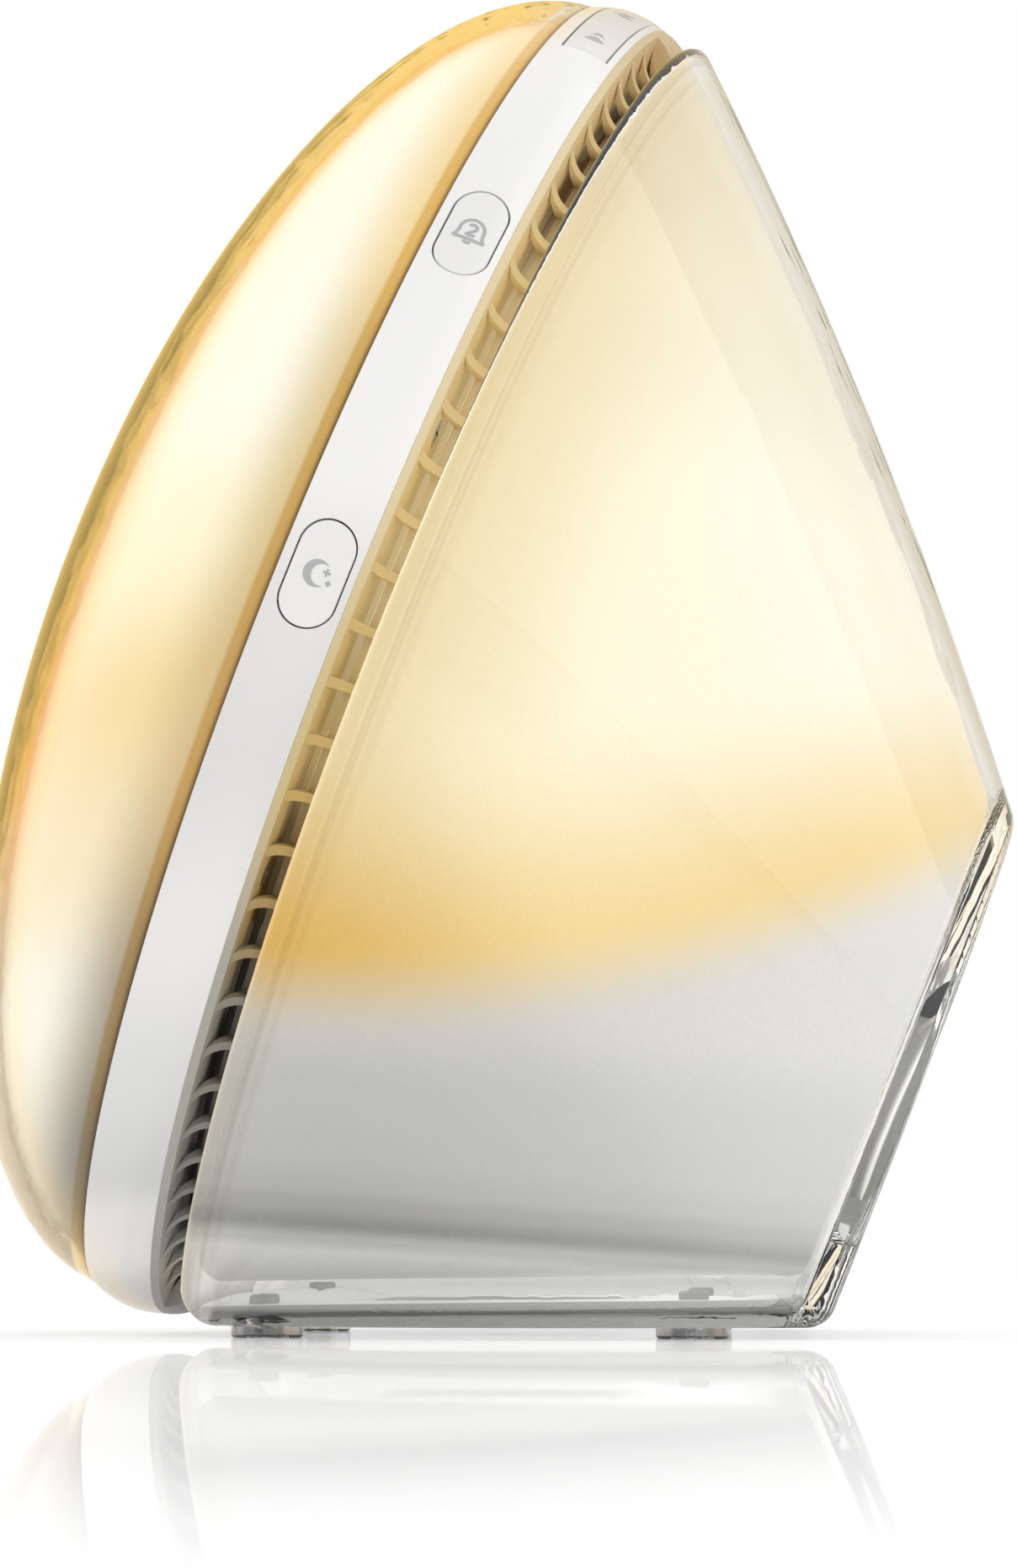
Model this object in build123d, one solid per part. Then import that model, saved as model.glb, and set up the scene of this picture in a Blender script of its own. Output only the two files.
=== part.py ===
from build123d import *
import math
import os

# Sunrise alarm clock.  Millimetres, +Z up, the lit front faces -Y, origin under the middle of the
# bounding box.  Most pieces are modelled in the ring frame: X across, Y up along the leaning ring,
# Z forward out of the front, with "depth" counted backwards from the band's front edge.

# ---- the leaning ring ---------------------------------------------------------------------------
RING_TILT = 21.85          # degrees that the ring leans back
RING_CENTRE_Y = -20.275    # middle of the band's front edge
RING_CENTRE_Z = 98.6
LATERAL = 0.915            # width of every ring outline over its height
EDGE_RADIUS = 99.2         # half height of the band at its front edge
CROWN_RADIUS = 100.2       # half height at the middle of the band
BAND_DEPTH = 9.9
BAND_INNER_RADIUS = 96.4
EDGE_ROUND = 0.3

# ---- front ---------------------------------------------------------------------------------------
COVER_RADIUS = 99.0
COVER_BULGE = 41.4
COVER_WALL = 2.4
TONGUE_LENGTH = 0.9        # rim of the cover that drops into the band
TONGUE_INNER = 97.0
TONGUE_OUTER = 98.1
OPAL_RADIUS = 95.8
OPAL_BULGE = 38.1
OPAL_WALL = 1.6
OPAL_LEDGE_INNER = 86.6

# ---- vent ring -----------------------------------------------------------------------------------
VENT_REAR_DEPTH = 14.5     # plane where the clear shell begins
VENT_ROUND_RADIUS = 93.4   # where the rounded surface has turned fully inwards
VENT_FRONT_STRIP = 1.1
VENT_ARC = (22.5, 171.0)   # angles between which each side is open
RIB_COUNT = 80             # ribs that would fit round the whole ring
RIB_WIDTH = 1.55
RIB_FOOT_RADIUS = 92.3     # the windows stop here, on the hoop that joins the ribs
HOLLOW = (97.6, 91.2)      # half heights of the hollow under the ribs, front and rear
VENT_LAYERS = 6

# ---- chassis -------------------------------------------------------------------------------------
SLEEVE_RADIUS = 88.0
SLEEVE_WALL = 1.5
PLATE_FRONT_DEPTH = 0.7
PLATE_REAR_DEPTH = 2.2
SLEEVE_SLOTS = 20

# ---- buttons and keys ----------------------------------------------------------------------------
BUTTON_MIDDLE_DEPTH = 5.17
BUTTON_LENGTH = 13.7
BUTTON_WIDTH = 7.1
BUTTON_GAP = 0.22
BUTTON_TRAVEL = 0.5
CAP_THICKNESS = 4.0
FLANGE_THICKNESS = 0.8
BUTTON_ANGLES = {"dusk_button": 92.1, "alarm_two_button": 63.2,
                 "alarm_one_button": -63.2, "menu_button": -92.1}
KEY_EDGES = [-37.3, -30.0, -16.0, 16.0, 30.0, 37.3]
KEY_NAMES = ["dimmer_key", "brighter_key", "lamp_key", "radio_key", "sound_key"]
KEY_FRONT_DEPTH = 2.2
KEY_REAR_DEPTH = 8.9
KEY_GAP = 0.25             # between a key and the band
KEY_SPLIT = 0.3            # between two keys
KEY_INNER_RADIUS = 95.4
KEY_LIP_RADIUS = 96.15
KEY_LIP_REACH = 0.65
FLEX_RADIUS = 88.65
FLEX_THICKNESS = 0.6
SWITCH_SIZE = 6.0
SWITCH_HEIGHT = 3.5
STEM_RADIUS = 1.3
STEM_ENTRY = 0.3           # how far a stem stands in its switch at rest

# ---- rear body: depth, half width, top and bottom of the outline before the floor cuts it ----------
REAR_STATIONS = [(14.5, 92.6, 99.75, -100.45), (55.9, 72.3, 58.6, -104.5), (97.0, 46.3, 10.8, -106.0)]
BASE_HEIGHT = 1.5
SHELL_WALL = 2.4
SHELL_FACET_WALL = 4.5
SHELL_ROUNDS = (4.5, 4.0, 1.1)      # rear facet, underside, rim
SATIN_START_DEPTH = 16.2
SATIN_INSET = 3.3
SATIN_FACET_INSET = 5.4
SATIN_FLOOR = 8.6
SATIN_WALL = 1.5

# ---- base ------------------------------------------------------------------------------------------
FOOT_RADIUS = 4.9
FOOT_STEM_RADIUS = 2.0
FEET = [(30.5, -29.9), (-30.5, -29.9), (37.0, 27.6), (-37.0, 27.6)]
PAN_THICKNESS = 1.6

# ---- socket panel, on the rear facet ----------------------------------------------------------------
PANEL_Y = -36.0
PANEL_RADIUS = 16.8
PANEL_FLANGE_RADIUS = 19.4
PANEL_RECESS = 0.3
JACK_X = -7.0
JACK_RADIUS = 4.5
JACK_BORE = 2.75
JACK_DEPTH = 9.0
GLAND_X = 8.0

# ---- inside -------------------------------------------------------------------------------------------
DISPLAY_WIDTH, DISPLAY_HEIGHT = 62.0, 24.0
DISPLAY_FRONT = 31.0
BOARD_THICKNESS = 1.6
MAIN_BOARD_DEPTH = 18.0
MAIN_BOARD_Y = 22.0
MAIN_BOARD_SIZE = (86.0, 60.0)
BOARD_POSTS = [(38.0, -3.0), (-38.0, -3.0), (38.0, 47.0), (-38.0, 47.0)]
SPEAKER_Y = -44.0
SPEAKER_RADIUS = 28.5
SPEAKER_FRAME_DEPTH = 20.5
SPEAKER_EAR = 33.0
CASE_SCREW_ANGLES = [48, 78, 115, 150, 180, -48, -78, -115, -150]
CASE_SCREW_RADIUS = 92.6

RING = Plane(origin=(0, RING_CENTRE_Y, RING_CENTRE_Z), x_dir=(1, 0, 0),
             z_dir=(0, -math.cos(math.radians(RING_TILT)), math.sin(math.radians(RING_TILT)))).location
parts = {}


def keep(name, shape, placed=True):
    """Store one sub-part, moved from the ring frame unless it is already in place."""
    parts[name] = RING * shape if placed else shape


# ---- helpers in the ring frame --------------------------------------------------------------------
def spin(outline):
    """Turn an outline drawn in (radius, height) about the ring's axis."""
    return revolve(Plane.XZ * outline, Axis.Z)


def oval(shape):
    """Narrow a round shape to the ring's oval."""
    return scale(shape, by=(LATERAL, 1, 1), about=(0, 0, 0))


def hoop(inner, outer, front_depth, rear_depth, across=LATERAL):
    """A flat oval ring, or disc, between two half heights and two depths."""
    outline = Ellipse(across * outer, outer)
    if inner > 0:
        outline -= Ellipse(across * inner, inner)
    return extrude(Plane.XY.offset(-rear_depth) * outline, rear_depth - front_depth)


def layered(layers):
    """Solid with a smooth outside through ovals of given half heights and depths."""
    return loft([Plane.XY.offset(-depth) * Ellipse(LATERAL * radius, radius) for radius, depth in layers])


def on_oval(angle, radius):
    """Point of the oval of this half height at an angle from the top, towards +X."""
    turn = math.radians(angle)
    return (LATERAL * radius * math.sin(turn), radius * math.cos(turn))


def outward(angle):
    """Unit normal of the ovals at an angle."""
    turn = math.radians(angle)
    across, up = math.sin(turn) / LATERAL, math.cos(turn)
    size = math.hypot(across, up)
    return (across / size, up / size)


def normal_distance(angle, step):
    """Distance along the normal between two ovals whose half heights differ by step."""
    turn = math.radians(angle)
    return step * LATERAL / math.hypot(math.sin(turn), LATERAL * math.cos(turn))


def crown_plane(angle):
    """Plane on the band's crown: x along the band, y backwards, z outwards."""
    x, y = on_oval(angle, CROWN_RADIUS)
    nx, ny = outward(angle)
    return Plane(origin=(x, y, -BUTTON_MIDDLE_DEPTH), x_dir=(ny, -nx, 0), z_dir=(nx, ny, 0))


def sunk(angle, outline, deep, shallow):
    """Extrude an outline along the crown's normal between two distances below the crown."""
    return extrude(crown_plane(angle).offset(-deep) * outline, deep - shallow)


def sector(first, last, front_depth, rear_depth, reach=130.0):
    """Wedge of the ring between two angles and two depths."""
    steps = 4
    corners = [on_oval(first + (last - first) * i / steps, reach) for i in range(steps + 1)]
    outline = make_face(Polyline((0, 0), *corners, close=True))
    return extrude(Plane.XY.offset(-rear_depth) * outline, rear_depth - front_depth)


def box_at(x, y, front_depth, width, height, thickness):
    """Box whose front face lies at a depth, with its back further in."""
    return Pos(x, y, -front_depth) * Box(width, height, thickness,
                                         align=(Align.CENTER, Align.CENTER, Align.MAX))


def rod_at(x, y, front_depth, radius, length):
    """Round bar along the ring's axis that starts at a depth and goes backwards."""
    return Pos(x, y, -front_depth) * Cylinder(radius, length,
                                              align=(Align.CENTER, Align.CENTER, Align.MAX))


# ---- front cover and opal -------------------------------------------------------------------------
def dome(radius, bulge, rim=0.0):
    """Half ellipsoid with its flat face at rim above the ring plane."""
    start = math.degrees(math.asin(rim / bulge))
    arc = EllipticalCenterArc((0, 0), radius, bulge, start, arc_size=90 - start)
    face = make_face([arc, Line((0, bulge), (0, rim)), Line((0, rim), arc @ 0)])
    return spin(face)


def front_cover():
    skin = oval(dome(COVER_RADIUS, COVER_BULGE)) - oval(dome(COVER_RADIUS - COVER_WALL, COVER_BULGE - COVER_WALL))
    return skin + hoop(TONGUE_INNER, TONGUE_OUTER, 0, TONGUE_LENGTH)


def front_diffuser():
    """Opal dome with a flat ledge that rests on the front of the chassis sleeve."""
    ledge_front = 0.8
    outer = oval(dome(OPAL_RADIUS, OPAL_BULGE)) + hoop(0, OPAL_RADIUS, 0, PLATE_FRONT_DEPTH)
    inner = oval(dome(OPAL_RADIUS - OPAL_WALL, OPAL_BULGE - OPAL_WALL, ledge_front))
    return outer - inner - hoop(0, OPAL_LEDGE_INNER, -ledge_front, PLATE_FRONT_DEPTH)


# ---- trim band --------------------------------------------------------------------------------------
def band_blank(inner):
    """The band's crowned outside, hollow inside an inner half height, with no openings yet."""
    blank = layered([(EDGE_RADIUS, 0), (CROWN_RADIUS, BAND_DEPTH / 2), (EDGE_RADIUS, BAND_DEPTH)])
    blank = fillet(blank.edges().sort_by(SortBy.LENGTH)[-2:], EDGE_ROUND)
    return blank - hoop(0, inner, -1, BAND_DEPTH + 1)


def button_outline(grow=0.0):
    return SlotOverall(BUTTON_LENGTH + 2 * grow, BUTTON_WIDTH + 2 * grow)


def flange_outline(grow=0.0):
    """The wider foot of a button, which stops it from falling out."""
    return SlotOverall(BUTTON_LENGTH + 1.8 + 2 * grow, BUTTON_WIDTH + 1.0 + 2 * grow)


def screw_boss(angle):
    """Boss inside the band, joined to its wall by a short web."""
    x, y = on_oval(angle, CASE_SCREW_RADIUS)
    nx, ny = outward(angle)
    length = BAND_DEPTH - 3.0
    web = Plane(origin=(x + nx * 2.2, y + ny * 2.2, -3.0), x_dir=(nx, ny, 0), z_dir=(0, 0, -1))
    return rod_at(x, y, 3.0, 2.4, length) + extrude(web * Rectangle(4.4, 2.4), length)


def trim_band():
    ring = band_blank(BAND_INNER_RADIUS)
    ring -= hoop(TONGUE_INNER - 0.1, TONGUE_OUTER + 0.1, -0.5, TONGUE_LENGTH + 0.1)
    ring -= sector(KEY_EDGES[0], KEY_EDGES[-1], KEY_FRONT_DEPTH, KEY_REAR_DEPTH)
    for angle in BUTTON_ANGLES.values():
        ring -= sunk(angle, button_outline(BUTTON_GAP), CAP_THICKNESS, -3)
        ring -= sunk(angle, flange_outline(0.25), CAP_THICKNESS + 2, CAP_THICKNESS - 0.15)
    for angle in CASE_SCREW_ANGLES:
        ring += screw_boss(angle)
    for angle in CASE_SCREW_ANGLES:
        x, y = on_oval(angle, CASE_SCREW_RADIUS)
        ring -= rod_at(x, y, 4.0, 1.0, BAND_DEPTH)
    return ring


# ---- vent ring with its curved ribs ------------------------------------------------------------------
def cove(front_radius, rear_radius, front_depth):
    """Solid inside a hollow curve that runs inwards at its front and backwards at the clear shell."""
    turns = [math.pi / 2 * step / VENT_LAYERS for step in range(VENT_LAYERS + 1)]
    return layered([(front_radius - (front_radius - rear_radius) * math.sin(turn),
                     VENT_REAR_DEPTH - (VENT_REAR_DEPTH - front_depth) * math.cos(turn)) for turn in turns])


def vent_window(angle):
    """Cutter for one window, as wide as the oval's pitch here less one rib."""
    pitch = math.dist(on_oval(angle - 180 / RIB_COUNT, EDGE_RADIUS - 1.5),
                      on_oval(angle + 180 / RIB_COUNT, EDGE_RADIUS - 1.5))
    x, y = on_oval(angle, RIB_FOOT_RADIUS)
    nx, ny = outward(angle)
    top = BAND_DEPTH + VENT_FRONT_STRIP
    mouth = Plane(origin=(x, y, -top), x_dir=(ny, -nx, 0), z_dir=(nx, ny, 0))
    depth = VENT_REAR_DEPTH - top + 1.0
    return extrude(mouth * Pos(0, depth / 2) * Rectangle(pitch - RIB_WIDTH, depth), 9.0)


def vent_ring():
    """Rounded ring whose sides are coved and cut into windows, which leaves curved ribs."""
    drop, run = EDGE_RADIUS - VENT_ROUND_RADIUS, VENT_REAR_DEPTH - BAND_DEPTH
    bend = (drop ** 2 + run ** 2) / (2 * run)
    start = math.asin((bend - run) / bend)
    turns = [start + (math.pi / 2 - start) * step / VENT_LAYERS for step in range(VENT_LAYERS + 1)]
    web_rear = BAND_DEPTH + VENT_FRONT_STRIP
    strip_edge = VENT_ROUND_RADIUS + math.sqrt(bend ** 2 - (bend - VENT_REAR_DEPTH + web_rear) ** 2)
    ring = layered([(VENT_ROUND_RADIUS + bend * math.cos(turn),
                     VENT_REAR_DEPTH - bend + bend * math.sin(turn)) for turn in turns])
    ring -= hoop(0, SLEEVE_RADIUS + 0.1, BAND_DEPTH - 1, web_rear)
    ring -= cove(*HOLLOW, web_rear)
    shallow = web_rear - 0.05
    recess = hoop(SLEEVE_RADIUS, EDGE_RADIUS + 5, shallow, VENT_REAR_DEPTH + 1)
    recess -= cove(strip_edge, VENT_ROUND_RADIUS, shallow)
    for first, last in (VENT_ARC, (-VENT_ARC[1], -VENT_ARC[0])):
        ring -= recess & sector(first, last, BAND_DEPTH, VENT_REAR_DEPTH + 2)
    for i in range(RIB_COUNT // 2):
        angle = 360 / RIB_COUNT * (i + 0.5)
        if VENT_ARC[0] < angle < VENT_ARC[1]:
            ring -= vent_window(angle)
            ring -= vent_window(-angle)
    for angle in CASE_SCREW_ANGLES:
        x, y = on_oval(angle, CASE_SCREW_RADIUS)
        ring -= rod_at(x, y, BAND_DEPTH - 1, 1.1, 3.0) + Pos(x, y, -web_rear) * countersink(0.1)
    return ring


# ---- rear body ------------------------------------------------------------------------------------------
def rear_outline(depth, column):
    """Smooth curve through the three stations of the rear body."""
    value = 0.0
    for i, here in enumerate(REAR_STATIONS):
        weight = 1.0
        for j, other in enumerate(REAR_STATIONS):
            if i != j:
                weight *= (depth - other[0]) / (here[0] - other[0])
        value += weight * here[column]
    return value


def rear_form(inset, facet_inset, floor, start_depth, rounds):
    """The rear body's outside, or the same form pulled in by inset and shortened at the facet."""
    facet_depth = REAR_STATIONS[-1][0] - facet_inset
    sections = []
    for depth in (start_depth, (start_depth + facet_depth) / 2, facet_depth):
        half_width = rear_outline(depth, 1) - 1.15 * inset
        top = rear_outline(depth, 2) - 1.42 * inset
        bottom = rear_outline(depth, 3) + inset
        outline = Pos(0, (top + bottom) / 2) * Ellipse(half_width, (top - bottom) / 2)
        sections.append(Plane.XY.offset(-depth) * outline)
    form = RING * loft(sections)
    form -= Pos(0, 0, floor) * Box(400, 400, 200, align=(Align.CENTER, Align.CENTER, Align.MAX))
    for depth, radius in ((facet_depth, rounds[0]), (None, rounds[1]), (start_depth, rounds[2])):
        if radius > 0:
            form = fillet(edges_of(form, floor, depth), radius)
    return form


def edges_of(form, floor, depth):
    """Edges on the underside, or the curved edges at one depth of the ring frame."""
    under = form.edges().filter_by_position(Axis.Z, floor - 0.01, floor + 0.01)
    if depth is None:
        return under
    level = [edge for edge in form.edges()
             if abs((RING.inverse() * edge).center().Z + depth) < 0.05 and edge not in under]
    return level


def facet_rod(x, y, depth, radius, length):
    """Round bar at the rear facet, in place."""
    return RING * rod_at(x, y, depth, radius, length)


SHELL_OUTSIDE = rear_form(0, 0, BASE_HEIGHT, REAR_STATIONS[0][0], SHELL_ROUNDS)
SHELL_INSIDE = rear_form(SHELL_WALL, SHELL_FACET_WALL, BASE_HEIGHT + SHELL_WALL, REAR_STATIONS[0][0],
                         (3.0, 3.0, 0))
FACET_DEPTH = REAR_STATIONS[-1][0]


def rear_shell():
    shell = SHELL_OUTSIDE - SHELL_INSIDE
    for x, y in FEET:
        shell -= Pos(x, y, 0) * Cylinder(FOOT_STEM_RADIUS + 0.1, 20)
    return shell - facet_rod(0, PANEL_Y, FACET_DEPTH - 12, PANEL_RADIUS + 0.1, 20)


def rear_seat_ring():
    """Ring that closes the back of the vents and centres the clear shell and the satin body."""
    snug = rear_form(SHELL_WALL + 0.1, SHELL_FACET_WALL, BASE_HEIGHT + SHELL_WALL + 0.1,
                     REAR_STATIONS[0][0], (3.0, 3.0, 0))
    slab = RING * hoop(0, 140, VENT_REAR_DEPTH, SATIN_START_DEPTH)
    opening = RING * hoop(0, SLEEVE_RADIUS - SLEEVE_WALL, 0, 40)
    return (snug & slab) - opening


def rear_diffuser():
    outside = rear_form(SATIN_INSET, SATIN_FACET_INSET, SATIN_FLOOR, SATIN_START_DEPTH, (3.0, 3.0, 0))
    inside = rear_form(SATIN_INSET + SATIN_WALL, SATIN_FACET_INSET + SATIN_WALL, SATIN_FLOOR + SATIN_WALL,
                       SATIN_START_DEPTH, (1.5, 1.5, 0))
    return outside - inside - facet_rod(0, PANEL_Y, FACET_DEPTH - 15, PANEL_FLANGE_RADIUS + 1, 20)


# ---- base -------------------------------------------------------------------------------------------------
def base_pan():
    """Plate on the shell's floor that takes the screws of the feet."""
    floor = BASE_HEIGHT + SHELL_WALL
    form = rear_form(SHELL_WALL + 0.2, SHELL_FACET_WALL + 3, floor, SATIN_START_DEPTH + 0.2, (3.0, 3.0, 0))
    pan = form & (Pos(0, 0, floor) * Box(400, 400, PAN_THICKNESS,
                                         align=(Align.CENTER, Align.CENTER, Align.MIN)))
    pan -= Pos(0, 0, floor) * Box(36, 34, 10)
    for x, y in FEET:
        pan -= Pos(x, y, floor) * Cylinder(1.3, 10)
    return pan


def foot(x, y):
    disc = Cylinder(FOOT_RADIUS, BASE_HEIGHT, align=(Align.CENTER, Align.CENTER, Align.MIN))
    disc = chamfer(disc.edges().group_by(Axis.Z)[0], 0.3)
    stem = Cylinder(FOOT_STEM_RADIUS, BASE_HEIGHT + SHELL_WALL, align=(Align.CENTER, Align.CENTER, Align.MIN))
    bore = Pos(0, 0, 1.2) * Cylinder(0.95, 10, align=(Align.CENTER, Align.CENTER, Align.MIN))
    return Pos(x, y, 0) * (disc + stem - bore)


def screw(radius, length, head_radius, head_height):
    """Pan-head screw that stands on the ring plane: shank forwards, head backwards."""
    shank = Cylinder(radius, length, align=(Align.CENTER, Align.CENTER, Align.MIN))
    head = Cylinder(head_radius, head_height, align=(Align.CENTER, Align.CENTER, Align.MAX))
    head = fillet(head.edges().group_by(Axis.Z)[0], head_height * 0.4)
    cross = Box(head_radius * 1.2, 0.5, 0.6, align=(Align.CENTER, Align.CENTER, Align.MIN))
    recess = Pos(0, 0, -head_height - 0.01) * (cross + Rot(0, 0, 90) * cross)
    return shank + head - recess


def group(shapes):
    """Separate solids that share one node."""
    return Compound(children=[solid for shape in shapes for solid in shape.solids()])


# ---- socket panel -------------------------------------------------------------------------------------------
def socket_panel():
    inner_face = FACET_DEPTH - SHELL_FACET_WALL
    panel = rod_at(0, PANEL_Y, inner_face, PANEL_RADIUS, SHELL_FACET_WALL - PANEL_RECESS)
    panel = fillet(panel.edges().group_by(Axis.Z)[0], 0.5)
    panel += rod_at(0, PANEL_Y, inner_face - 1.8, PANEL_FLANGE_RADIUS, 1.8)
    panel -= rod_at(JACK_X, PANEL_Y, 80, JACK_RADIUS + 0.05, 30)
    panel -= rod_at(GLAND_X, PANEL_Y, 80, 2.65, 30)
    return panel


def power_jack():
    face = FACET_DEPTH - PANEL_RECESS
    body = rod_at(JACK_X, PANEL_Y, face - JACK_DEPTH - 2, JACK_RADIUS, JACK_DEPTH + 2)
    body += rod_at(JACK_X, PANEL_Y, face, JACK_RADIUS + 0.9, 0.6)
    return body - rod_at(JACK_X, PANEL_Y, face - JACK_DEPTH, JACK_BORE, JACK_DEPTH + 2)


def power_pin():
    face = FACET_DEPTH - PANEL_RECESS
    pin = rod_at(JACK_X, PANEL_Y, face - JACK_DEPTH, 1.0, JACK_DEPTH - 1.0)
    return fillet(pin.edges().group_by(Axis.Z)[0], 0.4)


def antenna_gland():
    face = FACET_DEPTH - PANEL_RECESS
    gland = rod_at(GLAND_X, PANEL_Y, face - 8, 2.6, 8)
    gland += rod_at(GLAND_X, PANEL_Y, face, 3.6, 1.0)
    gland = fillet(gland.edges().group_by(Axis.Z)[0], 0.4)
    return gland - rod_at(GLAND_X, PANEL_Y, face - 10, 0.9, 14)


# ---- chassis --------------------------------------------------------------------------------------------------
def speaker_ears():
    """Places of the four screws that hold the speaker."""
    reach = SPEAKER_EAR / math.sqrt(2)
    return [(sx * reach, SPEAKER_Y + sy * reach) for sx in (-1, 1) for sy in (-1, 1)]


def sleeve_slot(angle):
    """Cutter for one air slot through the sleeve, level with the windows of the vent ring."""
    x, y = on_oval(angle, SLEEVE_RADIUS - 3)
    nx, ny = outward(angle)
    mouth = Plane(origin=(x, y, -12.7), x_dir=(ny, -nx, 0), z_dir=(nx, ny, 0))
    return extrude(mouth * Rectangle(15, 2.0), 6)


def chassis():
    plate = hoop(0, SLEEVE_RADIUS, PLATE_FRONT_DEPTH, PLATE_REAR_DEPTH)
    body = plate + hoop(SLEEVE_RADIUS - SLEEVE_WALL, SLEEVE_RADIUS, PLATE_FRONT_DEPTH, VENT_REAR_DEPTH)
    body -= [sleeve_slot(360 / SLEEVE_SLOTS * i) for i in range(SLEEVE_SLOTS)]
    for x, y in BOARD_POSTS:
        body += rod_at(x, y, PLATE_REAR_DEPTH - 0.5, 3.0, MAIN_BOARD_DEPTH - PLATE_REAR_DEPTH + 0.5)
        body -= rod_at(x, y, MAIN_BOARD_DEPTH - 8, 1.2, 8)
    for x, y in speaker_ears():
        body += rod_at(x, y, PLATE_REAR_DEPTH - 0.5, 2.8, SPEAKER_FRAME_DEPTH - PLATE_REAR_DEPTH + 0.5)
        body -= rod_at(x, y, SPEAKER_FRAME_DEPTH - 8, 1.1, 8)
    body -= box_at(0, -5, 0, 18, 2.4, 10)
    return body


def countersink(grow=0.0):
    """Cone of a flat screw head whose back is level with the web of the vent ring."""
    return Cone(1.8 + grow, 0.95 + grow, 0.85, align=(Align.CENTER, Align.CENTER, Align.MIN))


def case_screws():
    """Flat-head screws that clamp the vent ring on the band."""
    slot = Box(2.2, 0.5, 0.5, align=(Align.CENTER, Align.CENTER, Align.MIN))
    shank = Cylinder(0.95, 6.5, align=(Align.CENTER, Align.CENTER, Align.MIN))
    flat_screw = shank + countersink() - slot - Rot(0, 0, 90) * slot
    places = [on_oval(angle, CASE_SCREW_RADIUS) for angle in CASE_SCREW_ANGLES]
    return group([Pos(x, y, -BAND_DEPTH - VENT_FRONT_STRIP) * flat_screw for x, y in places])


# ---- lamp --------------------------------------------------------------------------------------------------------
LAMP_RING = (42.0, 60.0)
LED_COUNT = 24
REAR_LAMP_RADIUS = 68.0
REAR_LED_ANGLES = range(-90, 91, 15)


def lamp_board():
    return hoop(LAMP_RING[0], LAMP_RING[1], PLATE_FRONT_DEPTH - 1.2, PLATE_FRONT_DEPTH, 1.0)


def led(x, y, front, facing=1):
    """Square LED package with a shallow round lens."""
    package = Pos(x, y, front) * Box(3.5, 3.5, 0.9, align=(Align.CENTER, Align.CENTER, Align.MIN))
    lens = Pos(x, y, front + 0.9) * Cylinder(1.2, 0.4, align=(Align.CENTER, Align.CENTER, Align.MIN))
    shape = package + lens
    return shape if facing > 0 else mirror(shape, Plane.XY.offset(front))


def lamp_leds():
    middle = sum(LAMP_RING) / 2
    front = 1.2 - PLATE_FRONT_DEPTH
    turns = [2 * math.pi * i / LED_COUNT for i in range(LED_COUNT)]
    return group([led(middle * math.cos(turn), middle * math.sin(turn), front) for turn in turns])


def rear_lamp_board():
    arc = hoop(REAR_LAMP_RADIUS - 3.5, REAR_LAMP_RADIUS + 3.5, PLATE_REAR_DEPTH, PLATE_REAR_DEPTH + 1.2, 1.0)
    return arc & sector(-98, 98, 0, 20)


def rear_leds():
    places = [(REAR_LAMP_RADIUS * math.sin(math.radians(a)), REAR_LAMP_RADIUS * math.cos(math.radians(a)))
              for a in REAR_LED_ANGLES]
    return group([led(x, y, -PLATE_REAR_DEPTH - 1.2, -1) for x, y in places])


def heat_sink():
    sink = box_at(0, MAIN_BOARD_Y, PLATE_REAR_DEPTH, 70, 44, 2.0)
    for i in range(9):
        sink += box_at(-32 + 8 * i, MAIN_BOARD_Y, PLATE_REAR_DEPTH + 2, 1.4, 44, 9)
    return sink


# ---- display -----------------------------------------------------------------------------------------------------
def display_housing():
    """White open box that holds the display up behind the opal."""
    base = -PLATE_FRONT_DEPTH
    height = DISPLAY_FRONT - 6.6 - base
    outer = extrude(Plane.XY.offset(base) * Rectangle(DISPLAY_WIDTH + 8, DISPLAY_HEIGHT + 6), height, taper=3)
    inner = extrude(Plane.XY.offset(base) * Rectangle(DISPLAY_WIDTH + 4, DISPLAY_HEIGHT + 2), height, taper=3)
    return outer - inner


def display_board():
    return Pos(0, 0, DISPLAY_FRONT - 5.8) * Box(DISPLAY_WIDTH + 3, DISPLAY_HEIGHT + 2, BOARD_THICKNESS)


def display_module():
    body = Pos(0, 0, DISPLAY_FRONT - 5.0) * Box(DISPLAY_WIDTH, DISPLAY_HEIGHT, 5.0,
                                                align=(Align.CENTER, Align.CENTER, Align.MIN))
    return chamfer(body.edges().group_by(Axis.Z)[-1], 0.4)


def digit(x, lit):
    """Seven-segment figure: segments a to g, of which the lit ones are made."""
    wide, tall, bar = 7.0, 14.0, 1.6
    places = {"a": (0, tall / 2, 0), "g": (0, 0, 0), "d": (0, -tall / 2, 0),
              "f": (-wide / 2, tall / 4, 90), "b": (wide / 2, tall / 4, 90),
              "e": (-wide / 2, -tall / 4, 90), "c": (wide / 2, -tall / 4, 90)}
    cells = []
    for letter in lit:
        sx, sy, turn = places[letter]
        length = (wide if turn == 0 else tall / 2) - bar - 0.3
        cell = extrude(SlotOverall(length + bar, bar), 0.4)
        cells.append(Pos(x + sx, sy, DISPLAY_FRONT) * Rot(0, 0, turn) * cell)
    return cells


def display_digits():
    """Lit figures 7:00."""
    cells = digit(-13, "abc") + digit(5, "abcdef") + digit(17, "abcdef")
    cells += [Pos(-4, y, DISPLAY_FRONT) * extrude(Circle(0.9), 0.4) for y in (-3, 3)]
    return group(cells)


def ribbon_cable():
    length = DISPLAY_FRONT - 5.8 - BOARD_THICKNESS / 2 + MAIN_BOARD_DEPTH
    return Pos(0, -5, -MAIN_BOARD_DEPTH) * Box(16, 0.8, length, align=(Align.CENTER, Align.CENTER, Align.MIN))


# ---- main board ----------------------------------------------------------------------------------------------------
BOARD_BACK = MAIN_BOARD_DEPTH + BOARD_THICKNESS


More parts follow.
